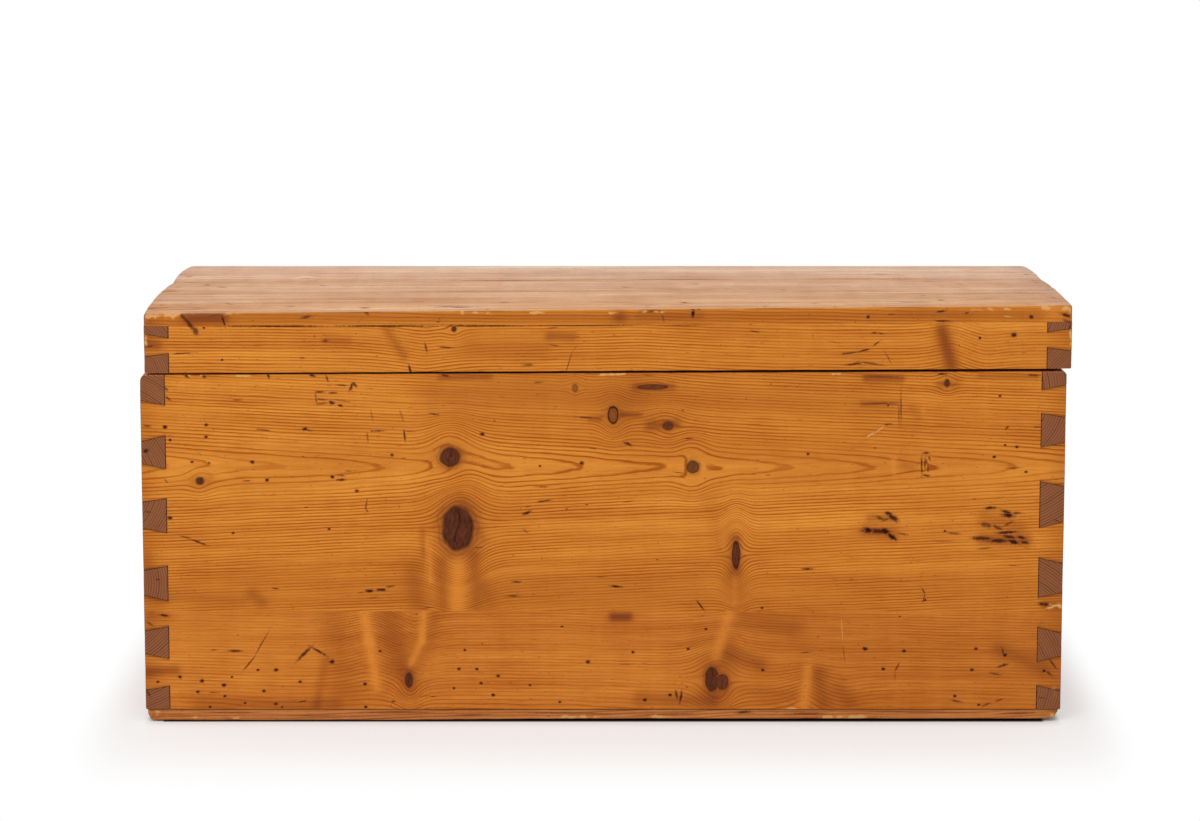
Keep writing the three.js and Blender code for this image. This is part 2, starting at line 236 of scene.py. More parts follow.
# Knots of each face: pixels across and down, or metres where the face isn't in the photograph, half
# width and half height in pixels, darkness, dark rim, pale heart, and how far they part the grain
# along and across it, in pixels
Knot = namedtuple("Knot", "face across down half_width half_height dark rim heart reach spread")
KNOT_ROWS = {
    "front": (
        (450, 457, 10.5, 10, 0.95, 0.3, 0, 14, 19), (458, 528, 16, 23.5, 1, 0.3, 0, 18, 40),
        (613, 415, 5, 9, 0.5, 1, 0.9, 8, 14), (693, 467, 6.5, 6.5, 0.8, 0.4, 0.1, 10, 16),
        (668, 426, 5.5, 4.5, 0.75, 0.4, 0, 12, 10), (736, 555, 4, 14, 0.95, 0.8, 0.2, 8, 26),
        (947, 383, 2.8, 4, 0.9, 0.3, 0, 7, 8), (200, 481, 4, 3.8, 0.95, 0.4, 0, 8, 9),
        (575, 388, 3, 4.2, 0.4, 0.2, 0, 5, 7), (653, 387, 15, 2.6, 0.75, 0.6, 0.2, 14, 6),
        (409, 680, 4.2, 8, 0.95, 0.3, 0, 9, 17), (712, 679, 7, 13, 0.95, 0.4, 0, 14, 20),
        (722, 682, 6.5, 8.5, 0.8, 0.3, 0, 10, 12), (454, 329, 2.5, 2.8, 0.95, 0.3, 0, 7, 7),
    ),
    "top": (
        (690, 288, 10, 3.5, 0.3, 0.6, 0.9, 12, 40), (305, 279, 5, 2.5, 0.5, 0.4, 0.1, 8, 24),
        (880, 277, 7, 2.5, 0.4, 0.4, 0.1, 9, 24),
    ),
    "back": (
        (0.21, 0.295, 13, 12, 0.9, 0.5, 0.1, 20, 26), (-0.13, 0.18, 8, 10, 0.8, 0.6, 0.2, 13, 22),
        (-0.31, 0.33, 5, 6, 0.7, 0.8, 0.2, 9, 12), (0.04, 0.075, 11, 14, 0.9, 0.4, 0, 18, 28),
        (0.36, 0.11, 5, 8, 0.8, 0.8, 0.1, 9, 16),
    ),
    "left": (
        (-0.07, 0.285, 12, 11, 0.85, 0.5, 0.1, 18, 24), (0.11, 0.1, 8, 9, 0.8, 0.6, 0.1, 12, 18),
    ),
    "right": (
        (0.06, 0.262, 10, 12, 0.85, 0.5, 0.1, 16, 24), (-0.12, 0.085, 6, 7, 0.7, 0.9, 0.3, 10, 14),
    ),
}

# Where the rings swell away from the heart or sink towards it beside a knot: pixels across and
# down, half width and half height in pixels, and by how many rings
Swell = namedtuple("Swell", "face across down half_width half_height rings")
SWELL_ROWS = {
    "front": (
        (454, 462, 24, 18, 1.1), (693, 468, 16, 12, 0.9), (613, 415, 13, 14, 0.8),
        (368, 640, 26, 46, -3.6), (414, 640, 22, 40, 4.4), (409, 680, 16, 18, 1.2),
        (732, 640, 24, 30, -2.5), (806, 690, 20, 28, -3), (845, 690, 26, 26, 1.6), (716, 679, 20, 18, 1),
        (425, 346, 34, 60, 2.2), (951, 348, 22, 50, -2.2), (985, 348, 26, 50, 1.6),
        (640, 352, 60, 60, -1.2), (240, 474, 50, 18, 0.9), (660, 412, 30, 30, -1.1),
    ),
}

# Soft patches of the photograph, as lines: the first pixel, how many pixels across and down the line
# runs, its half width in pixels and a strength, for darker wood (kind 0), paler wood (kind 1) and
# chipped varnish (kind 2)
Patch = namedtuple("Patch", "face across down across_to down_to half_width strength kind")
DARK_PATCHES = {
    "front": (
        (440, 394, 180, 2, 30, 0.3), (650, 394, 220, 3, 27, 0.24), (510, 590, 180, -2, 32, 0.27),
        (190, 588, 230, 2, 30, 0.2), (740, 598, 300, 2, 26, 0.14), (640, 452, 260, 0, 26, 0.1),
        (620, 632, 100, 2, 22, 0.16), (300, 350, 740, 0, 16, 0.07), (458, 520, 0, 16, 27, 0.5),
        (450, 457, 2, 1, 22, 0.3), (422, 530, 2, 26, 3.5, 0.33), (412, 568, 6, 37, 11, 0.3),
        (441, 562, 2, 46, 7, 0.34), (474, 556, 2, 52, 8, 0.36), (486, 585, 4, 21, 8, 0.25),
        (463, 500, 21, 40, 5, 0.2), (613, 415, 1, 0, 15, 0.3), (650, 426, 26, -2, 6, 0.6),
        (590, 419, 10, 0, 2.5, 0.5), (620, 415, 20, 0, 2.5, 0.5), (636, 387, 36, 0, 5, 0.35),
        (736, 538, 0, 34, 7, 0.45), (710, 500, 28, 96, 12, 0.22), (940, 385, 16, -1, 6, 0.5),
        (194, 482, 14, -2, 6, 0.3), (409, 672, 1, 18, 9, 0.35), (334, 618, 12, 74, 18, 0.28),
        (388, 616, 12, 52, 17, 0.42), (434, 616, -6, 36, 10, 0.3), (716, 672, 2, 16, 17, 0.55),
        (745, 618, 47, 10, 12, 0.3), (728, 652, 32, 12, 9, 0.45), (640, 698, 72, 3, 8, 0.4),
        (745, 690, 47, 4, 7, 0.25), (818, 674, 5, 31, 9, 0.4), (840, 690, 10, 12, 10, 0.35),
        (613, 617, 15, 0, 5, 0.8), (800, 650, 240, 18, 50, 0.16), (942, 330, 9, 34, 8, 0.75),
        (550, 336, 22, 1, 5.5, 0.5), (384, 326, 20, 30, 5, 0.4), (470, 345, 70, 1, 14, 0.25),
        (326, 340, 22, 1, 4, 0.4), (147, 344, 11, 1, 6, 0.6), (150, 320, 72, -1, 7, 0.5),
        (190, 318, 430, -1, 8, 0.42), (620, 317, 420, -2, 8, 0.4), (640, 316, 60, 0, 5, 0.18),
        (900, 312, 70, 2, 5, 0.1), (866, 378, 36, 1, 4, 0.55), (980, 376, 56, 1, 3, 0.35),
        (440, 378, 50, -1, 3, 0.35), (862, 404, 35, -1, 3, 0.35), (912, 410, 8, 8, 6, 0.25),
        (904, 466, 8, 2, 5, 0.3), (866, 531, 26, 3, 8, 0.5), (870, 518, 22, 0, 5, 0.4),
        (982, 539, 44, 2, 7, 0.6), (984, 516, 36, 11, 8, 0.35), (152, 615, 16, 1, 6, 0.3),
        (148, 672, 28, -2, 5, 0.6), (1000, 650, 42, 18, 9, 0.35), (200, 702, 135, 2, 8, 0.3),
        (325, 660, -9, 48, 5, 0.3), (150, 596, 90, 4, 8, 0.2), (252, 594, 10, 8, 7, 0.35),
        (1044, 605, 16, 2, 4, 0.4), (146, 560, 14, 40, 10, 0.25),
    ),
    "top": (
        (160, 300, 70, 2, 6, 0.35), (205, 286, 45, 1, 5, 0.3), (440, 307, 40, 1, 4, 0.35),
        (500, 289, 150, 1, 2, 0.35), (960, 300, 90, -4, 5, 0.3), (980, 281, 60, 2, 3, 0.25),
    ),
}
PALE_PATCHES = {
    "front": (
        (458, 562, -1, 46, 7, 0.7), (427, 540, 4, 42, 3, 0.6), (722, 520, 2, 28, 3, 0.35),
        (735, 576, 0, 28, 3, 0.4), (364, 611, 5, 31, 5, 0.95), (369, 642, 8, 46, 5.5, 0.9),
        (424, 611, -2, 29, 3.6, 0.95), (422, 640, -11, 24, 3.4, 0.9), (432, 658, 8, 10, 9, 0.35),
        (730, 611, -14, 45, 5.5, 0.75), (808, 668, -4, 38, 5, 0.8), (560, 645, 80, 15, 24, 0.3),
        (180, 640, 120, 10, 34, 0.3), (924, 408, 1, 8, 2, 0.6), (893, 458, 1, 16, 3, 0.6),
        (147, 316, 31, 0, 4.5, 0.3), (1043, 309, 27, 1, 4, 0.2),
    ),
    "top": (
        (680, 287, 22, 1, 3, 0.7), (300, 276, 260, 1, 2, 0.4),
    ),
}
CHIPPED_PATCHES = {
    "front": (
        (1044, 605, 16, 2, 4, 0.6), (147, 316, 31, 0, 4.5, 0.6), (1043, 309, 27, 1, 4, 0.72),
        (642, 312, 22, 0, 1.6, 0.6), (462, 313, 28, 0, 2.5, 0.65), (530, 313, 15, 0, 2, 0.65),
        (610, 313, 8, 0, 2, 0.75), (225, 313, 20, 0, 2.5, 0.55), (960, 310, 50, -1, 2, 0.6),
        (146, 335, 1, 15, 2.5, 0.6), (1070, 325, 1, 20, 2, 0.6), (188, 376, 16, 0, 2, 0.5),
        (236, 376, 14, 0, 1.6, 0.6), (598, 375, 26, -1, 1.4, 0.75), (832, 374, 8, 0, 1.8, 0.85),
        (142, 548, 1, 12, 2, 0.7), (150, 712, 18, 4, 4, 0.7), (190, 718, 50, 0, 2.5, 0.6),
        (650, 717, 18, 0, 2.5, 0.9), (825, 717, 43, 0, 2.5, 0.85), (560, 717, 40, 0, 2.5, 0.75),
        (1036, 712, 16, 3, 4, 0.7), (1053, 688, 5, 12, 4, 0.7),
    ),
}

# Marks on the front and the top. Dots are pixels across and down and a half width. Lines are the
# first pixel, how many pixels across and down they run, a half width in pixels, a tone from -1,
# pale, to 1, dark, and a depth in millimetres. Checks are the cracks at the ends of the top.
DOT_PIXELS = (
    (180, 677, 1.7), (202, 681, 1.9), (224, 685, 1.8), (225, 696, 1.4), (198, 692, 1.6), (210, 707, 1.5),
    (276, 704, 1.7), (282, 707, 1.3), (300, 682, 1.6), (276, 670, 1.8), (258, 670, 1.3), (264, 691, 1.5),
    (158, 682, 1.4), (165, 427, 1.9), (206, 425, 1.6), (206, 437, 1.7), (305, 429, 2), (192, 462, 1.2),
    (209, 463, 1.4), (252, 462, 1.8), (267, 480, 1.6), (170, 518, 2), (459, 669, 1.5), (477, 669, 1.4),
    (498, 676, 1.7), (481, 683, 1.5), (454, 688, 1.4), (493, 695, 1.6), (588, 662, 1.9), (365, 684, 1.7),
    (366, 707, 1.5), (560, 702, 1.4), (865, 649, 2), (904, 651, 1.7), (883, 669, 1.6), (763, 670, 1.7),
    (645, 700, 1.8), (670, 695, 1.6), (688, 649, 1.5), (706, 629, 1.4), (633, 652, 1.6), (972, 670, 1.7),
    (976, 649, 1.6), (1005, 655, 1.9), (1004, 665, 1.5), (955, 696, 1.6), (979, 705, 1.4),
    (1044, 671, 1.6), (868, 317, 1.7), (1031, 317, 2), (1014, 335, 2.3), (980, 338, 1.2),
    (392, 455, 1.6), (482, 434, 2), (332, 477, 1.6), (582, 463, 1.9), (329, 529, 1.5), (146, 451, 2.2),
    (357, 491, 1.6), (540, 466, 1.2), (204, 328, 1.2), (222, 360, 1.1), (808, 454, 1.2), (925, 600, 1.2),
    (762, 608, 1.3), (1000, 396, 1.3), (888, 405, 1.2), (332, 662, 2.2), (380, 651, 1.4),
    (465, 650, 1.3), (530, 685, 1.2), (245, 703, 1.2), (232, 677, 1.1), (1017, 447, 1.4),
    (1026, 472, 1.3), (994, 457, 1.5), (1005, 445, 1.2), (945, 531, 1.2), (170, 440, 1.3),
    (233, 533, 1.3),
)
LINE_PIXELS = (
    (866, 530, 4, 1, 3.1, 1, 1.3), (872, 531, 12, 1, 2.8, 0.9, 1.2), (882, 531, 6, 1, 3.1, 1, 1.5),
    (889, 535, 6, 4, 2.4, 1, 1.2), (886, 513, 5, 1, 1.8, 0.9, 0.8), (877, 517, 7, 3, 1.8, 0.7, 0.5),
    (890, 516, 6, 4, 2.8, 0.9, 1.2), (882, 521, 6, -2, 1.4, 0.6, 0.3), (861, 531, 7, -1, 1.2, 0.7, 0.4),
    (898, 533, 10, 2, 1, 0.6, 0.2), (986, 508, 10, 0, 1.6, 0.9, 0.6), (1003, 511, 7, 2, 1.9, 0.9, 0.8),
    (1004, 515, 8, 1, 2.4, 1, 1), (1013, 513, 7, 0, 1.4, 0.7, 0.5), (982, 524, 8, 2, 2.6, 0.7, 0.7),
    (994, 526, 7, 3, 1.9, 0.7, 0.6), (1004, 526, 8, -4, 1.4, 0.6, 0.4),
    (998, 533, 18, -1, 1.7, 0.9, 0.6), (973, 538, 19, 1, 2, 0.85, 0.8), (990, 541, 18, 0, 2.3, 0.9, 1),
    (1004, 536, 10, 2, 1.9, 0.9, 0.8), (1010, 541, 8, 2, 2.3, 1, 1.1), (1018, 537, 6, 1, 1.7, 0.9, 0.7),
    (1022, 542, 5, 1, 1.6, 0.9, 0.6), (948, 533, 12, 1, 1.3, 0.6, 0.3), (930, 541, 25, 1, 0.8, 0.4, 0.2),
    (924, 453, 5, 0, 1.3, 0.8, 0.5), (922, 456, 0, 20, 1.1, 0.85, 0.5),
    (926, 458, -1, 10, 1.6, 0.7, 0.5), (929, 457, 1, 3, 1.1, 0.7, 0.3), (923, 475, 6, 1, 1.2, 0.8, 0.5),
    (928, 465, 0, 7, 1, 0.6, 0.3), (316, 392, 8, 0, 1.1, 0.8, 0.4), (315, 392, 2, 12, 1, 0.5, 0.3),
    (317, 399, 9, 1, 1.2, 0.6, 0.3), (318, 404, 8, -1, 1.1, 0.5, 0.3), (329, 393, 7, 0, 1, 0.8, 0.4),
    (330, 402, 3, 1, 1.8, 0.9, 0.6), (339, 405, 3, 1, 1.4, 0.9, 0.5), (335, 400, 15, 2, 0.8, 0.4, 0.2),
    (350, 390, 3, -7, 1.8, 0.85, 0.6), (353, 383, 3, 3, 1.6, 0.8, 0.5), (326, 376, 2, 5, 1.1, 0.7, 0.4),
    (901, 391, 0, 36, 0.8, 0.6, 0.3), (899, 402, 0, 24, 0.7, 0.5, 0.2),
    (866, 438, 8, -6, 1.1, -0.7, 0.3), (872, 435, 14, -10, 0.9, -0.6, 0.3),
    (884, 425, 7, -1, 1.1, 0.7, 0.3), (860, 404, 37, -1, 0.9, 0.6, 0.2),
    (180, 536, 12, 3, 0.9, 0.6, 0.3), (190, 539, 16, 6, 1.2, 0.85, 0.5),
    (243, 671, 13, -16, 0.9, 0.7, 0.4), (254, 657, 15, -26, 0.8, 0.6, 0.3),
    (298, 660, 13, -13, 1.7, 0.85, 0.7), (311, 647, 14, 8, 1.4, 0.85, 0.6),
    (229, 651, 12, 0, 1.3, 0.85, 0.6), (211, 650, 6, 0, 0.9, 0.6, 0.3), (366, 591, 7, 0, 1.5, 0.95, 0.6),
    (378, 590, 7, 0, 1.6, 0.95, 0.6), (387, 587, 7, -1, 0.9, 0.7, 0.3), (513, 582, 8, 0, 1, 0.8, 0.4),
    (508, 596, 10, 0, 1, 0.7, 0.3), (611, 586, 11, 1, 1.2, 0.95, 0.4), (596, 577, 10, 0, 0.8, 0.5, 0.2),
    (802, 569, 10, 0, 1.1, 0.9, 0.5), (697, 601, 7, 9, 0.9, 0.9, 0.5),
    (841, 615, 2, 30, 0.6, -0.55, 0.2), (843, 646, 2, 16, 0.6, 0.5, 0.2),
    (922, 588, 3, 6, 0.8, 0.7, 0.3), (925, 594, -2, 8, 0.8, 0.7, 0.3), (895, 671, 4, -7, 0.9, 0.7, 0.3),
    (895, 672, 0, 9, 0.6, 0.4, 0.2), (1040, 604, 10, 1, 2, 0.95, 1), (1051, 606, 9, -1, 1.5, -0.9, 0.6),
    (1046, 608, 8, -1, 1.3, -0.8, 0.5), (160, 615, 8, 1, 1.2, 0.95, 0.6),
    (147, 622, 6, 4, 1.3, 0.6, 0.5), (676, 692, 1, 6, 1.4, 0.8, 0.6), (680, 702, 2, -11, 1.3, 0.9, 0.7),
    (538, 502, 13, -2, 0.9, 0.85, 0.4), (524, 514, 6, -2, 1.6, 0.9, 0.7),
    (526, 507, 5, -1, 0.7, 0.6, 0.2), (524, 530, 3, 2, 1.4, 0.35, 0.2), (369, 431, 17, 0, 0.7, 0.9, 0.4),
    (404, 431, 1, 9, 1, 0.9, 0.5), (400, 411, 3, 9, 1.2, 0.35, 0.3), (371, 411, 2, 10, 1.2, 0.3, 0.3),
    (367, 433, 1, 8, 1, 0.5, 0.3), (337, 480, 8, 0, 1.2, 0.9, 0.5), (338, 475, 6, 1, 0.8, 0.7, 0.2),
    (346, 471, 5, 0, 0.7, 0.5, 0.2), (577, 417, 15, 1, 0.9, 0.7, 0.2), (625, 443, 6, 2, 1.4, 0.9, 0.6),
    (590, 448, 6, 1, 0.7, 0.7, 0.2), (536, 487, 14, 0, 0.7, 0.6, 0.2), (367, 500, -2, 12, 1, 0.6, 0.4),
    (365, 508, 3, 4, 0.9, 0.6, 0.3), (179, 313, 7, 7, 1.8, 0.75, 0.8), (184, 318, 11, 13, 2.2, 0.8, 0.9),
    (194, 329, 2, 4, 2.8, 0.75, 0.7), (222, 316, 3, 10, 1.1, 0.95, 0.6),
    (440, 347, 13, 1, 0.8, 0.85, 0.4), (409, 366, 2, 7, 1.2, 0.9, 0.7), (425, 344, 2, 8, 1.2, 0.7, 0.4),
    (302, 318, 9, -2, 1.5, 0.75, 0.4), (364, 309, 3, 4, 1.9, 0.8, 0.7),
    (171, 354, 20, -1, 0.7, 0.85, 0.3), (323, 341, 4, 0, 1.5, 0.6, 0.3), (300, 358, 4, 0, 1.1, 0.5, 0.3),
    (690, 307, 4, 3, 1.5, 0.8, 0.8), (693, 311, 0, 6, 1.7, 1, 1.2), (697, 309, 3, 0, 0.9, 0.8, 0.4),
    (842, 354, 16, -2, 0.9, 0.75, 0.4), (858, 352, 12, -3, 1.1, 0.85, 0.5),
    (872, 333, 5, 0, 1, 0.75, 0.4), (879, 333, 4, 1, 0.9, 0.7, 0.3), (873, 346, 7, -5, 0.9, 0.75, 0.4),
    (847, 365, 15, -2, 1.2, 0.8, 0.4), (860, 362, 22, 3, 1, 0.7, 0.3), (884, 350, 8, 15, 0.5, 0.5, 0.2),
    (566, 372, 6, -20, 0.6, 0.6, 0.2), (572, 352, 6, -7, 0.5, 0.4, 0.2), (936, 321, 14, 0, 1, 0.85, 0.4),
    (937, 312, 8, -1, 1.1, 0.85, 0.4), (1004, 316, 9, 1, 0.7, -0.7, 0.3),
    (787, 708.5, 12, 0, 1.2, -1, 0.3), (524, 365, 8, 0, 1.4, 0.6, 0.3),
    (640, 312, 20, -1, 1.2, 0.7, 0.3), (662, 315, 2, 6, 0.9, 0.5, 0.3), (1062, 314, 7, 2, 1.8, 0.9, 0.8),
    (1064, 320, 6, 2, 1.5, 0.6, 0.5), (1070, 326, 0, 6, 1.2, 0.8, 0.5), (152, 715, 48, 1, 1.2, 0.3, 0.4),
    (205, 713, 55, 0, 0.9, 0.5, 0.3), (285, 716, 60, 0, 0.9, 0.4, 0.3), (360, 713, 80, 0, 0.9, 0.5, 0.3),
    (450, 716, 40, -1, 1, 0.5, 0.3), (520, 713, 90, 1, 0.9, 0.5, 0.3), (640, 715, 60, -1, 1, 0.5, 0.3),
    (738, 713, 12, -1, 1.5, 0.8, 0.4), (790, 714, 35, 0, 1.3, 0.6, 0.3),
    (860, 712, 120, 1, 0.8, 0.5, 0.3), (1000, 714, 40, -1, 1, 0.6, 0.5), (186, 376, 2, 1, 1.4, 0.9, 0.6),
    (202, 376, 3, 1, 1.4, 0.9, 0.6), (268, 375, 1, 3, 1.2, 0.9, 0.6), (310, 375, 4, 1, 1.4, 0.9, 0.6),
    (442, 375, 6, 1, 1.2, 0.8, 0.5), (1028, 375, 12, 1, 1, 0.7, 0.5), (864, 376, 36, 1, 1, 0.5, 0.3),
    (938, 374, 8, 0, 1.2, 0.8, 0.4), (166, 397, 4, 3, 1.2, 0.7, 0.4), (165, 388, 2, 2, 1.3, 0.7, 0.3),
    (233, 400, 8, 0, 0.8, 0.6, 0.3), (303, 429, 8, 2, 1, 0.7, 0.4), (143, 426, 8, 0, 0.9, 0.8, 0.4),
    (165, 480, 2, 2, 1.2, 0.5, 0.3), (1034, 427, 6, 0, 0.8, 0.7, 0.3), (1006, 429, 2, -2, 1.1, 0.7, 0.3),
    (146, 512, 4, 0, 0.9, 0.6, 0.3), (1055, 520, 5, 2, 0.8, 0.6, 0.3), (146, 690, 4, 6, 1.2, 0.6, 0.3),
    (1050, 660, 6, 8, 1.2, 0.7, 0.3), (1046, 671, 6, 5, 1.1, 0.7, 0.3), (983, 706, 7, -3, 1.2, 0.6, 0.4),
    (950, 700, 11, 2, 1, 0.7, 0.4), (996, 701, 7, -2, 1, 0.6, 0.3), (990, 673, 10, 2, 1.2, 0.6, 0.4),
    (224, 326.4, 106, -0.2, 0.9, 0.9, 0), (330, 326.2, 110, -0.2, 0.9, 0.9, 0),
    (440, 326, 90, -0.1, 0.9, 0.85, 0), (530, 325.8, 110, -0.4, 0.8, 0.7, 0),
    (660, 325.2, 44, -0.2, 0.7, 0.5, 0), (1002, 648, 2, 8, 1.2, 0.8, 0.5),
    (998, 667, 10, -3, 1.1, 0.8, 0.4),
)
TOP_LINE_PIXELS = (
    (205, 285, 4, 0, 1.2, 0.7, 0.5), (218, 287.5, 8, 0.5, 0.8, 0.7, 0.4),
    (622, 290, 12, 0.5, 0.5, 0.8, 0.4), (360, 307.5, 10, 0, 0.9, 0.8, 0.4),
    (664, 286.5, 12, 0.5, 0.6, -0.8, 0.3), (690, 286, 10, 0.5, 0.6, 0.8, 0.4),
    (287, 306, 8, 0, 0.6, 0.7, 0.3), (572, 269.5, 8, 0.5, 0.4, 0.6, 0.3),
    (905, 284.5, 55, 1, 0.3, 0.6, 0.3), (500, 304, 8, 0, 0.6, 0.6, 0.3), (225, 303, 8, 1, 0.6, 0.5, 0.3),
    (938, 305, 6, 0.5, 0.7, 0.8, 0.4), (812, 307, 6, 0, 0.6, 0.6, 0.3), (320, 286, 6, 1, 0.5, 0.6, 0.3),
    (440, 307, 30, 1, 0.7, 0.7, 0.3), (440, 293.6, 200, 0.6, 0.4, 0.5, 0.2),
    (590, 304, 50, 1, 0.4, 0.4, 0.2), (680, 305, 10, 1, 0.8, 0.8, 0.4), (780, 294, 6, 0, 0.6, 0.6, 0.3),
    (920, 301, 6, 0, 0.6, 0.6, 0.3), (440, 281, 180, -0.2, 0.55, 0.75, 0.3),
    (620, 280.8, 140, -0.4, 0.55, 0.75, 0.3), (260, 281.4, 170, -0.4, 0.45, 0.5, 0.3),
    (760, 280.4, 200, 0.4, 0.45, 0.5, 0.3), (940, 291, 6, 0, 0.6, 0.6, 0.3),
    (1010, 298, 30, 2, 0.5, 0.5, 0.3), (960, 305, 40, -1, 0.6, 0.4, 0.2),
    (150, 290, 40, 1, 0.5, 0.5, 0.3),
)
CHECK_PIXELS = (
    (145, 306.5, 23, -0.5, 1, 1, 3), (158, 292.5, 18, -0.5, 0.9, 1, 2.5),
    (1030, 284.5, 34, 0, 0.8, 1, 2.5), (186, 282, 10, 0, 0.4, 0.8, 1),
)

# How long a dot is on each side for each pixel of its half width, its tone and its depth
DOT_STRETCH = 0.25
DOT_TONE = 0.95
DOT_DEPTH = 0.5

# Small marks of chance: their number on each face, and the spread or the range of their turn,
# length, width, tone and depth
RANDOM_MARKS = {"front": 70, "back": 60, "left": 34, "right": 34, "top": 60}
RANDOM_MARK_SEED = 70
RANDOM_MARK_TURN = 0.12
RANDOM_MARK_LENGTH = 7 * MM
RANDOM_MARK_WIDTH = 0.9 * MM
SHORTEST_SHARE = 0.15
NARROWEST_SHARE = 0.5
RANDOM_MARK_TONES = (0.4, 0.9)
RANDOM_MARK_DEPTH_SHARE = 0.3

# How much wider a mark on the top is than the camera sees it
SLANTED_VIEW = 3

# What a knot, a swell or a patch gives in pixels beside its place
SIZE_FIELDS = ("half_width", "half_height", "reach", "spread")

# How an arris is worn: the radius of its wear and how ragged it is, in millimetres, how much it
# shows, and how far it reaches along the first plane's axis for each millimetre along the second's
Wear = namedtuple("Wear", "radius ragged shows stretch", defaults=(1.0,))

# The arrises of the body and of the lid's frame, named after the two planes that meet there, and
# the first seed of their chips
BODY_SEED = 40
BODY_WEAR = {
    "left rim": (6, 1, 0.6), "right rim": (5, 1, 0.6), "front rim": (0.9, 1.2, 0.5),
    "back rim": (1.2, 1.2, 0.5), "left front": (1.2, 1.3, 0.5), "right front": (1.2, 1.3, 0.5),
    "left back": (1.4, 1.3, 0.5), "right back": (1.4, 1.3, 0.5), "left foot": (1.6, 1, 0.5, 0.7),
    "right foot": (1.8, 1, 0.5, 0.7), "front foot": (0.6, 0.6, 0.1),
}
LID_SEED = 60
LID_WEAR = {
    "left front": (1.8, 1.6, 0.6), "right front": (1.8, 1.6, 0.6), "left back": (3, 2, 0.6),
    "right back": (3, 2, 0.6), "front foot": (0.8, 1, 0.35), "left foot": (2, 1.5, 0.6),
    "right foot": (1.6, 1.5, 0.6), "back foot": (1.2, 1, 0.4),
}

# The lid's two planks, and what differs at the front one and at the back one
TOP_SEED = 80
TOP_WEAR = {
    "left face": (2.6, 2, 0.6), "right face": (2.6, 2, 0.6), "front face": (1.2, 0.6, 0.2),
    "back face": (1.2, 0.6, 0.2), "left front": (4, 1, 0.6), "right front": (3, 1, 0.6),
    "left back": (5, 1, 0.6), "right back": (4, 1, 0.6),
}
TOP_FRONT_WEAR = {
    "front face": (1.4, 1.6, 0.55), "left front": (6, 1, 0.6), "right front": (5, 1, 0.6),
}
TOP_BACK_WEAR = {
    "back face": (5, 2, 0.6), "left back": (13, 1, 0.6), "right back": (13, 1, 0.6),
}

# The bottom's three planks, and what differs at the front one and at the back one
BOTTOM_SEED = 110
BOTTOM_WEAR = {
    "left foot": (9, 1, 0.5), "right foot": (10, 1, 0.5, 2.0), "left rim": (0.5, 0.6, 0.4),
    "right rim": (0.5, 0.6, 0.4), "front foot": (1, 0.5, 0.2), "front rim": (0.5, 0.3, 0.2),
    "back foot": (1, 1, 0.2), "left front": (2, 1, 0.5), "right front": (2, 1, 0.5),
    "left back": (2, 1, 0.5), "right back": (2, 1, 0.5),
}
BOTTOM_FRONT_WEAR = {
    "front foot": (1.2, 0.9, 0.5), "front rim": (1.3, 0.8, 0.2), "left front": (7, 1, 0.5),
    "right front": (8, 1, 0.5),
}
BOTTOM_BACK_WEAR = {
    "back foot": (2, 1, 0.5), "left back": (9, 1, 0.5), "right back": (9, 1, 0.5),
}

# Each face of the chest: the axis it looks along, which way, its level on that axis, and its own
# axes across and up
Face = namedtuple("Face", "axis way level across up")


def span(*names):
    """Lowest and highest corners of some CAD nodes together."""
    corners = [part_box(name) for name in names]
    lows = np.array([low for low, high in corners])
    highs = np.array([high for low, high in corners])
    return lows.min(axis=0), highs.max(axis=0)


BODY_LOW, BODY_HIGH = span(*FRONT_WALL, *BACK_WALL, *LEFT_END, *RIGHT_END)
LID_LOW, LID_HIGH = span(*LID_FRAME)
TOP_HIGH = span(*LID_TOP)[1]
BOTTOM_LOW, BOTTOM_HIGH = span(*BOTTOM)
HALF_LENGTH = (BODY_HIGH[X] - BODY_LOW[X]) / 2
LID_SHIFT = (LID_HIGH[X] + LID_LOW[X]) / 2
DEPTH = BODY_HIGH[Y] - BODY_LOW[Y]
PLANK_JOINT = (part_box(LID_TOP[0])[1].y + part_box(LID_TOP[1])[0].y) / 2
MEAN_TOP = (LID_HIGH[Z] + TOP_HIGH[Z]) / 2 + TOP_PLANK_THICKNESS / 4

FACES = {
    "front": Face(Y, -1, BODY_LOW[Y], X, Z),
    "back": Face(Y, 1, BODY_HIGH[Y], X, Z),
    "left": Face(X, -1, BODY_LOW[X], Y, Z),
    "right": Face(X, 1, BODY_HIGH[X], Y, Z),
    "top": Face(Z, 1, MEAN_TOP, X, Y),
    "under": Face(Z, -1, BOTTOM_LOW[Z], X, Y),
}


def face_place(name, across, down):
    """Where the lines of sight through pixels of the photograph meet a face of the chest.

    A pixel's distance from the middle of the picture over the focal length gives a direction
    from the camera, which tilts down with it. The line is then followed as far as the face.
    """
    face = FACES[name]
    sideways = (np.asarray(across, float) - PHOTO_WIDTH / 2) / FOCAL_PIXELS
    upward = (PHOTO_HEIGHT / 2 - np.asarray(down, float)) / FOCAL_PIXELS
    ahead = math.cos(CAMERA_PITCH) + upward * math.sin(CAMERA_PITCH)
    rise = upward * math.cos(CAMERA_PITCH) - math.sin(CAMERA_PITCH)
    lines = np.stack([sideways, ahead, rise], axis=-1)
    reach = (face.level - CAMERA_PLACE[face.axis]) / lines[..., face.axis]
    places = CAMERA_PLACE + lines * reach[..., None]
    return places[..., face.across], places[..., face.up]


PIXEL = (face_place("front", 601, 500)[0] - face_place("front", 600, 500)[0]).item()


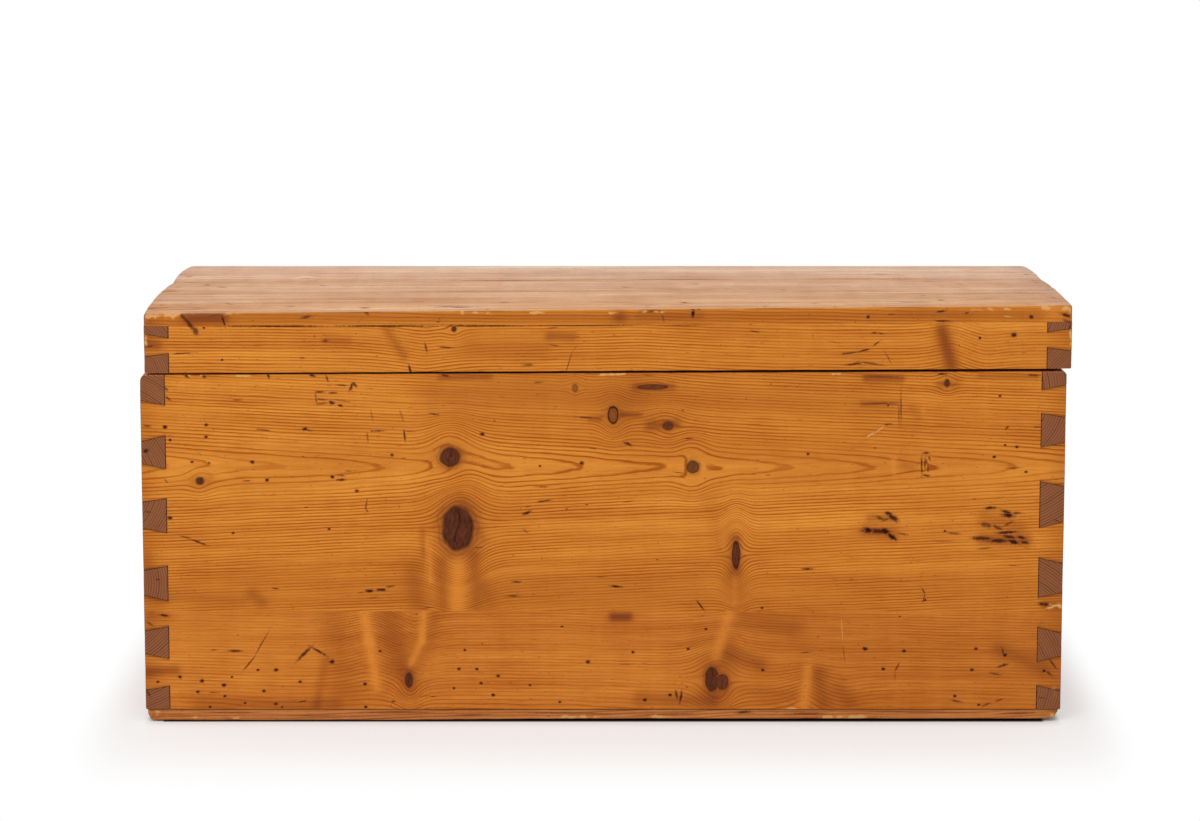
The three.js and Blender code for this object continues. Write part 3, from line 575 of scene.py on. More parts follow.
def noise(places, size, seed):
    """Smooth noise from -1 to 1. Random numbers stand on a lattice of the given size, and a
    cubic blend joins the eight around each place."""
    lattice = np.random.default_rng(seed).uniform(-1, 1, (LATTICE,) * 3)
    scaled = places / np.asarray(size)
    cell = np.floor(scaled).astype(int)
    part = scaled - cell
    ease = part * part * (3 - 2 * part)
    total = np.zeros(places.shape[:-1])
    for corner in np.ndindex(2, 2, 2):
        weight = np.prod(np.where(corner, ease, 1 - ease), axis=-1)
        at = (cell + corner) % LATTICE
        total += weight * lattice[at[..., X], at[..., Y], at[..., Z]]
    return total


def smooth(values, low, high):
    """0 below low, 1 above high and a smooth cubic between them."""
    part = np.clip((values - low) / (high - low), 0, 1)
    return part * part * (3 - 2 * part)


def vertices(name):
    """Places of a CAD node's vertices."""
    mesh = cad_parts[name].data
    places = np.empty(len(mesh.vertices) * 3)
    mesh.vertices.foreach_get("co", places)
    return places.reshape(-1, 3)


def either_side(edge):
    """Two grid lines close to a sharp edge, one on each side of it."""
    return [edge - 2 * CLOSE, edge + 2 * CLOSE]


def levels(places, axis):
    """The different levels of some places along an axis, to a tenth of a millimetre."""
    return np.unique(np.round(places[:, axis], 4))


def grid_lines(low, high, step, worn=(True, True), around=(), exact=(), fine=()):
    """Grid lines from low to high, a step apart. They close up at a worn edge and around a small
    place, are finer within each fine stretch and pass through each exact place."""
    even = np.linspace(low, high, max(2, round((high - low) / step) + 1))
    found = [even, np.array(exact, float)]
    if worn[0]:
        found.append(low + WORN_EDGE_LINES)
    if worn[1]:
        found.append(high - WORN_EDGE_LINES)
    for place in around:
        found.append(place + SMALL_PLACE_LINES)
    for start, finish in fine:
        found.append(np.arange(start, finish, GOUGE_STEP))
    every = np.sort(np.concatenate(found))
    every = every[(every >= low) & (every <= high)]
    every = every[np.diff(every, prepend=low - STEP) > CLOSEST_LINES]
    every[-1] = high
    return every


def layer_lines(thickness):
    """Depths of a board's layers, from its face to its back, closer together at both."""
    near = LAYER_LINES[LAYER_LINES < thickness / 2 - CLOSE]
    return np.concatenate([near, [thickness / 2], (thickness - near)[::-1]])


def pins(boards, front):
    """The pins at one end of an end wall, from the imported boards: each pin's lower and upper edge,
    at the wall's outer face and at its inner face, lowest pin first."""
    found = []
    for board in boards:
        places = vertices(board)
        low, high = places.min(axis=0), places.max(axis=0)
        end = low[Y] if front else high[Y]
        outer, inner = sorted((low[X], high[X]), key=abs, reverse=True)
        at_end = np.abs(places[:, Y] - end) < CLOSE
        edges = []
        for side in (outer, inner):
            heights = places[at_end & (np.abs(places[:, X] - side) < CLOSE), Z]
            edges.append(np.unique(np.round(heights, 5)))
        found.append(np.stack(edges, axis=-1).reshape(-1, 2, 2))
    found = np.concatenate(found)
    return found[found[:, 0, 0].argsort()]


def rows_through(base, edges):
    """Row heights that pass through a joint's edges, at the outer face and at the inner one. Each
    edge takes the base row nearest to it, and the rows between move along with them."""
    low, high = base[0], base[-1]
    inside = (edges.min(axis=1) > low + ANCHOR) & (edges.max(axis=1) < high - ANCHOR)
    edges = edges[inside]
    nearest = np.abs(base[:, None] - edges.mean(axis=1)).argmin(axis=0)
    source = np.concatenate([[low, low + ANCHOR], base[nearest], [high - ANCHOR, high]])
    rows = []
    for side in (0, 1):
        target = np.concatenate([[low, low + ANCHOR], edges[:, side], [high - ANCHOR, high]])
        rows.append(np.interp(base, source, target))
    return rows


def in_pins(rows, edges):
    """Which squares between the rows lie within a pin."""
    middle = (rows[1:, None] + rows[:-1, None]) / 2
    return ((middle > edges[:, 0, 0]) & (middle < edges[:, 1, 0])).any(axis=1)


def widened(edges, gap):
    """Pin edges moved apart by a gap, as the tails beside them stand."""
    return edges + np.array((-gap, gap))[:, None]


def dovetailed(along, depths, base, edges, shoulders, inward, along_axis):
    """Points and squares of a board that is dovetailed at both ends: with tails where it lies along
    X, and else with pins.

    At each end a row's height goes from its place at the joint's outer face to its place at the
    inner face, by the inward share, and from end to end it goes straight across.
    """
    rows = [rows_through(base, pair.reshape(-1, 2)) for pair in edges]
    (left_outer, left_inner), (right_outer, right_inner) = rows
    across = np.clip((along - shoulders[0]) / (shoulders[1] - shoulders[0]), 0, 1)
    left = left_outer[:, None] + (left_inner - left_outer)[:, None] * inward
    right = right_outer[:, None] + (right_inner - right_outer)[:, None] * inward
    height = left * (1 - across) + right * across
    inside = depths[:, None, None]
    tailed = along_axis == X
    parts = (along, inside, height) if tailed else (inside, along, height)
    points = np.stack(np.broadcast_arrays(*parts), axis=-1)
    ends = [in_pins(heights[0], pair) != tailed for heights, pair in zip(rows, edges)]
    return points, joint_cells(along, shoulders, *ends)


def joint_cells(along, shoulders, left, right):
    """Which squares of a board's sheet hold wood: all between the shoulders, and at each end the
    rows that the joint leaves."""
    middle = (along[1:] + along[:-1]) / 2
    cells = np.ones((len(left), len(middle)), bool)
    cells[:, middle < shoulders[0]] = left[:, None]
    cells[:, middle > shoulders[1]] = right[:, None]
    return cells


def open_sides(cells):
    """For each corner of a sheet's squares, which way the wood lies: -1, 0 or 1 along the rows and
    across them. Corners inside the wood have 0 and 0."""
    padded = np.pad(cells, 1).astype(int)
    low_left, low_right = padded[:-1, :-1], padded[:-1, 1:]
    high_left, high_right = padded[1:, :-1], padded[1:, 1:]
    along = np.sign(low_right + high_right - low_left - high_left)
    across = np.sign(high_left + high_right - low_left - low_right)
    return along, across


def ease_edges(points, cells, along_axis, across_axis, glued=(False, False), faces=(0, -1)):
    """Takes the sharp corner off every edge of a board's two faces: the outermost corners of the
    first and the last layer move towards the wood. Glued edges stay sharp and close up."""
    along, across = open_sides(cells)
    for row, shut in zip((0, -1), glued):
        if shut:
            across[row] = 0
            points[:, row, :, across_axis] += GLUE_CLOSING * (1 if row else -1)
    for layer in faces:
        points[layer, ..., along_axis] += along * EASED_EDGE
        points[layer, ..., across_axis] += across * EASED_EDGE


def glued_edges(name):
    """Whether a board's lower and its upper edge are glued: to the wall's other board, or to the
    lid's top."""
    return "upper_board" in name, "lower_board" in name or name in LID_FRAME


def skin(points, cells):
    """Squares of a board's closed skin, and what each is: 0 face, 1 end grain, 2 inside, 3 edge.

    The squares that hold wood cover the first and the last layer, and a wall runs through the
    layers wherever such a square has no neighbour.
    """
    layers, rows, columns = points.shape[:3]
    index = np.arange(layers * rows * columns).reshape(layers, rows, columns)
    corners = np.stack(
        [index[:, :-1, :-1], index[:, :-1, 1:], index[:, 1:, 1:], index[:, 1:, :-1]], axis=-1
    )
    squares = [corners[0][cells], corners[-1][cells][:, ::-1]]
    kinds = [np.zeros(len(squares[0]), int), np.full(len(squares[1]), 2)]
    padded = np.pad(cells, 1)
    beside = (padded[:-2, 1:-1], padded[1:-1, 2:], padded[2:, 1:-1], padded[1:-1, :-2])
    for side, neighbour in enumerate(beside):
        bare = cells & ~neighbour
        start = corners[..., side][:, bare]
        finish = corners[..., (side + 1) % 4][:, bare]
        wall = np.stack([finish[:-1], start[:-1], start[1:], finish[1:]], axis=-1).reshape(-1, 4)
        squares.append(wall)
        kinds.append(np.full(len(wall), 1 if side % 2 else 3))
    return np.concatenate(squares), np.concatenate(kinds)


def wear_arris(points, first, second, radius, stretch):
    """Rounds one arris. Within the square corner of that radius each point moves along its ray
    from the corner's centre, until the two faces lie on a quarter circle, stretched along the
    first axis. first and second are (axis, level, way into the wood)."""
    (axis_a, level_a, way_a), (axis_b, level_b, way_b) = first, second
    reach_a = np.clip(radius - (points[:, axis_a] - level_a) * way_a / stretch, 0, radius)
    reach_b = np.clip(radius - (points[:, axis_b] - level_b) * way_b, 0, radius)
    corner = (reach_a > 0) & (reach_b > 0)
    longest = np.maximum(reach_a, reach_b)
    share = np.where(corner, longest / np.maximum(np.hypot(reach_a, reach_b), TINY), 1)
    points[:, axis_a] += way_a * reach_a * (1 - share) * stretch
    points[:, axis_b] += way_b * reach_b * (1 - share)


def worn_radius(points, base, ragged, seed):
    """Radius of wear along an arris: a base that wanders, with chips where the noise is high."""
    slow = noise(points, CHIP_SPACING, seed)
    quick = noise(points, CHIP_SPACING / 4, seed + 1)
    chips = np.clip(slow + QUICK_CHIP_SHARE * quick - CHIP_START, 0, None)
    return base * (1 + WEAR_WANDER_SHARE * slow) + ragged * chips


def seen_lean(points):
    """How far along and forward a point lies for the lean of the rim and the lid: from -1 at the
    left end to 1 at the right, fading to 0 towards the back."""
    along = points[..., X] / HALF_LENGTH
    return along * smooth(LEAN_FADE_Y - points[..., Y], 0, LEAN_FADE_Y - BODY_LOW[Y])


def planes(low, high):
    """The six planes of a box: for each its axis, its level and the way into the box."""
    return {
        "left": (X, low[X], 1),
        "right": (X, high[X], -1),
        "front": (Y, low[Y], 1),
        "back": (Y, high[Y], -1),
        "foot": (Z, low[Z], 1),
        "rim": (Z, high[Z], -1),
    }


def weather_body(points):
    """Wears the body's outer corners and rim, and leans the rim. Returns how worn each point is."""
    worn = wear_all(points, planes(BODY_LOW, BODY_HIGH), BODY_WEAR, BODY_SEED)
    rising = smooth(points[..., Z], BODY_HIGH[Z] - RIM_LEAN_START, BODY_HIGH[Z])
    points[..., Z] += RIM_LEAN * seen_lean(points) * rising
    return worn


def weather_lid_frame(points):
    """Wears the outer corners of the lid's frame, and leans its foot and its joint with the top."""
    worn = wear_all(points, planes(LID_LOW, LID_HIGH), LID_WEAR, LID_SEED)
    up = (points[..., Z] - LID_LOW[Z]) / (LID_HIGH[Z] - LID_LOW[Z])
    lean = LID_FOOT_LEAN + (LID_JOINT_LEAN - LID_FOOT_LEAN) * up
    points[..., Z] += lean * seen_lean(points)
    return worn


def wear_all(points, sides, wears, seed):
    """Wears the arris of each named pair of planes in turn. Returns how worn each point is, from 1
    on an arris to 0 at the reach of its wear."""
    worn = np.zeros(points.shape[:-1])
    untouched = points.copy()
    for number, (pair, measures) in enumerate(wears.items()):
        wear = Wear(*measures)
        first, second = (sides[name] for name in pair.split())
        away_a = (untouched[..., first[0]] - first[1]) / wear.stretch
        away = np.hypot(away_a, untouched[..., second[0]] - second[1])
        worn = np.maximum(worn, wear.shows * np.clip(1 - away / WEAR_REACH, 0, 1))
        near = away < 2 * WEAR_REACH
        radius = worn_radius(untouched[near], wear.radius * MM, wear.ragged * MM, seed + 2 * number)
        moved = points[near]
        wear_arris(moved, first, second, radius, wear.stretch)
        points[near] = moved
    return worn


def top_height(along, back):
    """Height of the lid's top surface above the planks' underside.

    Each plank swells by a parabola across its width. The back one falls towards its back edge,
    and the front edge was planed thinner at the left than at the right.
    """
    front_share = (back - LID_LOW[Y]) / (PLANK_JOINT - LID_LOW[Y])
    back_share = (back - PLANK_JOINT) / (LID_HIGH[Y] - PLANK_JOINT)
    share = np.clip(np.where(back < PLANK_JOINT, front_share, back_share), 0, 1)
    crown = CROWN_RISE * (1 - (2 * share - 1) ** 2)
    fall = np.where(back < PLANK_JOINT, 0, BACK_EDGE_DROP * share)
    length = LID_HIGH[X] - LID_LOW[X]
    taper = FRONT_EDGE_TAPER * (0.5 - back / DEPTH) * (along - LID_SHIFT) / length
    return TOP_PLANK_THICKNESS + crown - fall + taper


def mark_table(face, dots, strokes):
    """Marks of the photograph as rows of numbers on their face: centre across and up, direction,
    half length, half width, tone, depth. A dot is a short dark stroke."""
    short = [
        (across - DOT_STRETCH * size, down, 2 * DOT_STRETCH * size, 0, size, DOT_TONE, DOT_DEPTH)
        for across, down, size in dots
    ]
    strokes = np.array(tuple(strokes) + tuple(short), float)
    across, down, run, drop = strokes[:, :4].T
    start = np.stack(face_place(face, across, down), axis=-1)
    finish = np.stack(face_place(face, across + run, down + drop), axis=-1)
    length = np.linalg.norm(finish - start, axis=-1)
    rounding = strokes[:, 4] * PIXEL
    return np.column_stack(
        [
            (start + finish) / 2, (finish - start) / length[:, None], length / 2 + rounding,
            rounding * (SLANTED_VIEW if face == "top" else 1), strokes[:, 5], strokes[:, 6] * MM,
        ]
    )


def random_marks(face, count, seed):
    """Small knocks and pitch flecks, scattered over a face mostly along the grain."""
    draw = np.random.default_rng(seed)
    spot = FACES[face]
    low, high = (np.array(corner)[[spot.across, spot.up]] for corner in cad_box)
    centre = draw.uniform(low, high, (count, 2))
    turn = draw.normal(0, RANDOM_MARK_TURN, count)
    half_length = RANDOM_MARK_LENGTH * draw.uniform(SHORTEST_SHARE, 1, count) ** 2
    half_width = RANDOM_MARK_WIDTH * draw.uniform(NARROWEST_SHARE, 1, count)
    tone = draw.uniform(*RANDOM_MARK_TONES, count)
    depth = half_width * RANDOM_MARK_DEPTH_SHARE
    return np.column_stack(
        [centre, np.cos(turn), np.sin(turn), half_length + half_width, half_width, tone, depth]
    )


def all_marks():
    """The marks of every face."""
    found = {}
    for at, (face, count) in enumerate(RANDOM_MARKS.items()):
        found[face] = random_marks(face, count, RANDOM_MARK_SEED + at)
    found["front"] = np.concatenate([mark_table("front", DOT_PIXELS, LINE_PIXELS), found["front"]])
    found["top"] = np.concatenate([mark_table("top", (), TOP_LINE_PIXELS + CHECK_PIXELS), found["top"]])
    return found


def placed(spots, *places):
    """Knots, swells or patches with their places and sizes in metres on their face. places names
    the pairs of fields that are places, and the fields after them that are lengths."""
    found = []
    for spot in spots:
        lengths = {field: getattr(spot, field) * PIXEL for field in SIZE_FIELDS if field in spot._fields}
        if spot.face in ("front", "top"):
            for across, down in places:
                seen = face_place(spot.face, getattr(spot, across), getattr(spot, down))
                lengths[across], lengths[down] = (place.item() for place in seen)
        found.append(spot._replace(**lengths))
    return found


def gathered(kind, table):
    """The rows of a table as spots of one kind, each with the face it stands under."""
    return [kind(face, *row) for face, rows in table.items() for row in rows]


PATCHES = [
    Patch(face, across, down, across + run, down + drop, half_width, strength, kind)
    for kind, table in enumerate((DARK_PATCHES, PALE_PATCHES, CHIPPED_PATCHES))
    for face, rows in table.items()
    for across, down, run, drop, half_width, strength in rows
]
KNOTS = placed(gathered(Knot, KNOT_ROWS), ("across", "down"))
BENDS = placed(gathered(Swell, SWELL_ROWS), ("across", "down"))
TONES = placed(PATCHES, ("across", "down"), ("across_to", "down_to"))
MARKS = all_marks()


def on_board(spot, middle, places):
    """Whether a spot of the photograph lies on the board that has these places."""
    axes = (FACES[spot.face].across, FACES[spot.face].up)
    low, high = places.min(axis=0), places.max(axis=0)
    return all(low[axis] < at < high[axis] for axis, at in zip(axes, middle))


def on_face(spots, face, places):
    """The knots or swells of a face that lie on the board with these places."""
    return [one for one in spots if one.face == face and on_board(one, (one.across, one.down), places)]


def within_ellipse(off_a, off_b, cosine, sine, half_length, half_width):
    """Offsets from an ellipse's centre along and across its own direction, in its half sizes."""
    along = (off_a * cosine + off_b * sine) / half_length
    aside = (off_b * cosine - off_a * sine) / half_width
    return along, aside


def nearest_spot(squares, face, table):
    """For each square on a face, the row of the table whose ellipse reaches it soonest, or -1, and
    each corner's place along and across that ellipse, in its half sizes."""
    spot = FACES[face]
    own = squares[:, :, (spot.across, spot.up)]
    centre = own.mean(axis=1)
    size = np.linalg.norm(own - centre[:, None], axis=-1).max(axis=1)
    best = np.full(len(squares), NEAR_SPOT)
    which = np.full(len(squares), -1)
    for row, (across, up, cosine, sine, half_length, half_width) in enumerate(table[:, :6]):
        off_a, off_b = (centre - (across, up)).T
        reach = np.hypot(*within_ellipse(off_a, off_b, cosine, sine, half_length + size, half_width + size))
        closer = reach < best
        best[closer] = reach[closer]
        which[closer] = row
    across, up, *ellipse = table[which, :6].T[..., None]
    return which, *within_ellipse(own[..., 0] - across, own[..., 1] - up, *ellipse)


def knot_table(knots):
    """Knots with their surrounds as ellipses: centre, direction and half sizes."""
    reach = KNOT_SURROUND
    return np.array(
        [(one.across, one.down, 1, 0, reach * one.half_width, reach * one.half_height) for one in knots]
    )


def spot_attributes(places, squares, normals, own):
    """Per corner, the place within the nearest mark and its tone, and the place within the nearest
    knot and its look. A knot goes through its board, so both sides of the board's own face show it.
    Squares with none near keep a far place."""
    corners = places[squares]
    shape = corners.shape[:2]
    mark = np.full(shape + (3,), FAR)
    knot = np.full(shape + (3,), FAR)
    look = np.zeros(shape + (3,))
    for face, spot in FACES.items():
        facing = normals[:, spot.axis] * spot.way
        near = np.abs(corners[..., spot.axis].mean(axis=1) - spot.level) < FACE_REACH
        outer = np.flatnonzero((facing > FACING) & near)
        if face in MARKS:
            which, along, aside = nearest_spot(corners[outer], face, MARKS[face])
            tone = np.broadcast_to(MARKS[face][which][:, None, 6], along.shape)
            hit = which >= 0
            mark[outer[hit]] = np.stack([along, aside, tone], axis=-1)[hit]
        rows = on_face(KNOTS, face, places)
        if rows:
            chosen = np.flatnonzero(np.abs(facing) > FACING) if face == own else outer
            which, along, aside = nearest_spot(corners[chosen], face, knot_table(rows))
            seed = np.broadcast_to(which[:, None] * KNOT_SEED_STEP, along.shape)
            looks = np.array([(one.dark, one.rim, one.heart) for one in rows])[which]
            hit = which >= 0
            within = np.stack([KNOT_SURROUND * along, KNOT_SURROUND * aside, seed], axis=-1)
            knot[chosen[hit]] = within[hit]
            look[chosen[hit]] = np.broadcast_to(looks[:, None], along.shape + (3,))[hit]
    return mark, knot, look


def press_marks(points, face):
    """Presses the deeper marks into a board's face: each is a bowl with an elliptical edge."""
    spot = FACES[face]
    for across, up, *ellipse, _, depth in MARKS[face]:
        off_a, off_b = points[0, ..., spot.across] - across, points[0, ..., spot.up] - up
        bowl = np.clip(1 - np.hypot(*within_ellipse(off_a, off_b, *ellipse)) ** 2, 0, 1)
        points[0, ..., spot.axis] -= spot.way * depth * bowl


def press_dimples(points, nails, axis, way, layer):
    """Presses a small hollow over each nail's head, so that the head shows at its bottom."""
    start, finish = (DIMPLE_RADIUS * share for share in DIMPLE_RIM_SHARES)
    for middle in middles_of(nails):
        away = np.hypot(points[layer, ..., X] - middle[X], points[layer, ..., Y] - middle[Y])
        points[layer, ..., axis] += way * DIMPLE_DEPTH * (1 - smooth(away, start, finish))


def middles_of(nails):
    """The middle of each nail's box."""
    return np.array([(low + high) / 2 for low, high in map(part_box, nails)])


def count_rings(timber, knots, bends, along, across, inward):
    """Rings counted from the heart, without their wander, and the place across the board that the
    knots leave."""
    for knot in knots:
        off = (across - knot.down) / knot.spread
        far = (along - knot.across) / knot.reach
        part = KNOT_PARTING * np.exp(-0.5 * off**2 - 0.5 * far**2)
        across = knot.down + (across - knot.down) * (1 - part)
    heart = np.hypot(inward - timber.depth, across - timber.across)
    rings = (heart + timber.climb * along) / timber.spacing
    for bend in bends:
        off = (across - bend.down) / bend.half_height
        far = (along - bend.across) / bend.half_width
        rings = rings + bend.rings * np.exp(-(off**2) - np.abs(far) ** 1.5)
    return rings, across


def grain_of(places, name, face, along_axis, within):
    """The timber at each place: distance along the board, rings counted from the heart, distance
    round it, and how squarely the rings meet the face, or the edge for places within the board's
    thickness.

    The rings are circles about the heart, which runs the length of the board behind its face and
    nears or leaves it along the way. They wander by smooth noise. A knot parts them: a place near
    it takes the count of one nearer to the knot's own middle. A swell adds a bell to the count.
    They meet the face squarely where the count changes by one over their own spacing.
    """
    timber = TIMBERS[name]
    spot = FACES[face]
    along = places[..., along_axis]
    across_axis = spot.up if along_axis == spot.across else spot.across
    across = places[..., across_axis]
    inward = (places[..., spot.axis] - spot.level) * -spot.way
    board = (timber, on_face(KNOTS, face, places), on_face(BENDS, face, places))
    rings, parted = count_rings(*board, along, across, inward)
    further, _ = count_rings(*board, along + MM, across, inward)
    higher, _ = count_rings(*board, along, across + MM, inward)
    deeper, _ = count_rings(*board, along, across, inward + MM)
    crosswise = np.where(within, deeper, higher) - rings
    slope = np.hypot(further - rings, crosswise) / MM * timber.spacing
    slow, quick = (noise(places, size, timber.seed + at) for at, size in enumerate(WANDER_SIZES))
    rings = rings + timber.wander * (slow + QUICK_WANDER_SHARE * quick) / timber.spacing
    return np.stack([along, rings, parted + inward], axis=-1), slope


def tones_of(places):
    """Dark tone, pale tone and chipping at each place: the sum of soft lines on the faces of the
    chest, and the darker zones along its corners."""
    tones = np.zeros(places.shape[:-1] + (3,))
    for patch in TONES:
        spot = FACES[patch.face]
        middle = ((patch.across + patch.across_to) / 2, (patch.down + patch.down_to) / 2)
        if not on_board(patch, middle, places):
            continue
        start = np.array((patch.across, patch.down))
        line = np.array((patch.across_to, patch.down_to)) - start
        off = places[..., (spot.across, spot.up)] - start
        share = np.clip((off @ line) / max(line @ line, TINY), 0, 1)
        away = np.linalg.norm(off - share[..., None] * line, axis=-1) / patch.half_width
        near = np.abs(places[..., spot.axis] - spot.level) < FACE_REACH
        tones[..., patch.kind] += patch.strength * np.exp(-(away**2)) * near
    from_end = HALF_LENGTH - np.abs(places[..., X])
    from_rim = np.abs(places[..., Z] - BODY_HIGH[Z])
    for distance, (dark, reach) in zip((from_end, from_rim, places[..., Z]), ZONES):
        tones[..., 0] += dark * (1 - smooth(distance, 0, reach))
    return np.clip(tones, 0, 1)


def volume(places, squares):
    """Signed volume inside a closed skin: each square's share is a third of its middle dotted with
    its area."""
    corners = places[squares]
    area = np.cross(corners[:, 2] - corners[:, 0], corners[:, 3] - corners[:, 1]) / 2
    return (corners.mean(axis=1) * area).sum() / 3


def make_board(name, body, points, cells, face, along_axis, worn, grime, finish):
    """Puts a board's skin into a mesh with its timber, tones, wear, marks and knots, and lets it
    stand for its CAD node. finish names the materials of its face, end grain, inside and edges."""
    squares, kinds = skin(points, cells)
    used, squares = np.unique(squares, return_inverse=True)
    squares = squares.reshape(-1, 4)
    places = points.reshape(-1, 3)[used]
    if volume(places, squares) < 0:
        squares = squares[:, ::-1]
    mesh = bpy.data.meshes.new(name + "_worn")
    mesh.from_pydata(places, [], squares)
    mesh.update()
    normals = np.empty(len(squares) * 3, np.float32)
    mesh.polygons.foreach_get("normal", normals)
    tone = tones_of(places)
    tone[:, 2] += WEAR_SHOWS * worn.reshape(-1)[used]
    mark, knot, look = spot_attributes(places, squares, normals.reshape(-1, 3), face)
    within = np.zeros(points.shape[:-1], bool)
    within[1:-1] = True
    grain, slope = grain_of(places, name, face, along_axis, within.reshape(-1)[used])
    put(mesh, "POINT", grain=grain, slope=slope, tone=tone, grime=grime.reshape(-1)[used])
    put(mesh, "CORNER", mark=mark, knot=knot, knot_look=look)
    for material in finish:
        mesh.materials.append(bpy.data.materials[material])
    mesh.polygons.foreach_set("material_index", kinds)
    mesh.shade_smooth()
    mesh.set_sharp_from_angle(angle=SHARP_ANGLE)
    piece = bpy.data.objects.new(name + "_worn", mesh)
    bpy.context.scene.collection.objects.link(piece)
    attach(piece, body)
    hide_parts(name)
    return piece


def put(mesh, domain, **arrays):
    """Writes attributes of a mesh from arrays of numbers or of triples."""
    for name, values in arrays.items():
        vectors = values.shape[-1] == 3
        attribute = mesh.attributes.new(name, "FLOAT_VECTOR" if vectors else "FLOAT", domain)
        flat = np.ascontiguousarray(values, np.float32).ravel()
        attribute.data.foreach_set("vector" if vectors else "value", flat)


def seam_soiling_and_shade(points, cells, glued=(False, False)):
    """Dirt and painted shade in the joints: full on every wall between the faces, some on the faces'
    edges and a little on the rims of the body and the lid, which hands keep clean."""
    along, across = open_sides(cells)
    for row, shut in zip((0, -1), glued):
        if shut:
            across[row] = 0
    edge = (along != 0) | (across != 0)
    grime = np.broadcast_to(edge, points.shape[:-1]).astype(float)
    grime[0] *= FACE_SOILING_AND_SHADE
    rims = np.abs(points[..., Z, None] - (BODY_HIGH[Z], LID_LOW[Z])).min(axis=-1) < LEDGE
    return np.where(rims, RIM_SOILING_AND_SHADE * grime, grime)


def undulate(points, axis, way, seed):
    """Makes a board's faces a little uneven: they sink by up to a quarter of a millimetre."""
    sinks = [
        (1 + noise(points[:1], size, seed + at)) * depth for at, (size, depth) in enumerate(UNEVENNESS)
    ]
    points[..., axis] += way * sum(sinks)


def cut_recess(points, leaf, way):
    """Lets a hinge leaf into a rim: above the leaf the edge's points move into the wood by the
    recess's depth, and the rows near the edge close up."""
    low, high = (np.array(corner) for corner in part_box(leaf))
    over = (points[..., X] > low[X] - RECESS_MARGIN) & (points[..., X] < high[X] + RECESS_MARGIN)
    over &= points[..., Y] > low[Y] - RECESS_MARGIN
    edge = points[..., Z].max() if way < 0 else points[..., Z].min()
    near = np.clip(1 - np.abs(points[..., Z] - edge) / RECESS_SQUEEZE, 0, 1)
    points[..., Z] += np.where(over, way * RECESS_DEPTH * near, 0)


def tail_board(name, body, end_walls, back, finish, leaves=()):
    """A front or back board, with tails at both ends.

    Its sheet is along X and up Z, its layers go in along Y. Between two pins each tail spreads
    from the shoulder to the end.
    """
    low, high = span(name)
    outer, way = (high[Y], -1) if back else (low[Y], 1)
    walls = [span(*boards) for boards in end_walls]
    shoulders = (walls[0][1][X] + SHOULDER_GAP, walls[1][0][X] - SHOULDER_GAP)
    edges = [widened(pins(boards, not back), SEAM) for boards in end_walls]
    step, gouged, gouged_up = (WIDE_STEP, (), ()) if back else (STEP, GOUGED_ALONG, GOUGED_UP)
    recesses = [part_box(leaf) for leaf in leaves]
    exact = []
    for near, far in recesses:
        exact += either_side(near.x - RECESS_MARGIN) + either_side(far.x + RECESS_MARGIN)
    left = grid_lines(low[X], shoulders[0], step, exact=exact)
    middle = grid_lines(shoulders[0], shoulders[1], step, exact=exact, fine=gouged)
    right = grid_lines(shoulders[1], high[X], step, exact=exact)
    along = np.concatenate([left, middle[1:], right[1:]])
    base = grid_lines(low[Z], high[Z], step, fine=gouged_up)
    layers = layer_lines(high[Y] - low[Y])
    if leaves:
        inner_edge = high[Y] - recesses[0][0].y + RECESS_MARGIN
        layers = np.sort(np.concatenate([layers, either_side(inner_edge)]))
    from_left = (along - low[X]) / (shoulders[0] - low[X])
    from_right = (high[X] - along) / (high[X] - shoulders[1])
    inward = np.clip(np.minimum(from_left, from_right), 0, 1)
    points, cells = dovetailed(along, outer + way * layers, base, edges, shoulders, inward, X)
    for leaf in leaves:
        cut_recess(points, leaf, -1 if body == "chest" else 1)
    shorten_tails(points, TIMBERS[name].seed)
    finish_wall(name, body, points, cells, "back" if back else "front", X, finish)


def finish_wall(name, body, points, cells, face, along_axis, finish):
    """Eases the edges of a wall's board, wears and marks it, and makes its piece."""
    glued = glued_edges(name)
    grime = seam_soiling_and_shade(points, cells, glued)
    ease_edges(points, cells, along_axis, Z, glued)
    undulate(points, FACES[face].axis, -FACES[face].way, TIMBERS[name].seed)
    worn = weather_body(points) if body == "chest" else weather_lid_frame(points)
    press_marks(points, face)
    make_board(name, body, points, cells, face, along_axis, worn, grime, finish)


def shorten_tails(points, seed):
    """Planes each tail back by its own small amount, as they never end quite level."""
    low, high = points[..., X].min(), points[..., X].max()
    steps = STEP_AT_JOINT * (1 + noise(points, TAIL_NOISE, seed + 5)) / 2
    into_left = np.clip(1 - (points[..., X] - low) / TAIL_REACH, 0, 1)
    into_right = np.clip(1 - (high - points[..., X]) / TAIL_REACH, 0, 1)
    points[..., X] += steps * (into_left - into_right)


def pin_board(name, body, left, finish):
    """An end board, with pins at both ends.

    Its sheet is along Y and up Z, its layers go in along X. Each pin is narrower at the outer
    face than at the inner one, so its rows change height from layer to layer.
    """
    low, high = span(name)
    outer, way = (low[X], 1) if left else (high[X], -1)
    thickness = high[X] - low[X]
    shoulders = (low[Y] + thickness + SEAM, high[Y] - thickness - SEAM)
    edges = [pins((name,), front) for front in (True, False)]
    parts = (
        grid_lines(low[Y], shoulders[0], STEP),
        grid_lines(shoulders[0], shoulders[1], WIDE_STEP, worn=(False, False)),
        grid_lines(shoulders[1], high[Y], STEP),
    )
    along = np.concatenate([parts[0], parts[1][1:], parts[2][1:]])
    base = grid_lines(low[Z], high[Z], STEP)
    layers = layer_lines(thickness)
    inward = (layers / thickness)[:, None, None]
    points, cells = dovetailed(along, outer + way * layers, base, edges, shoulders, inward, Y)
    finish_wall(name, body, points, cells, "left" if left else "right", Y, finish)


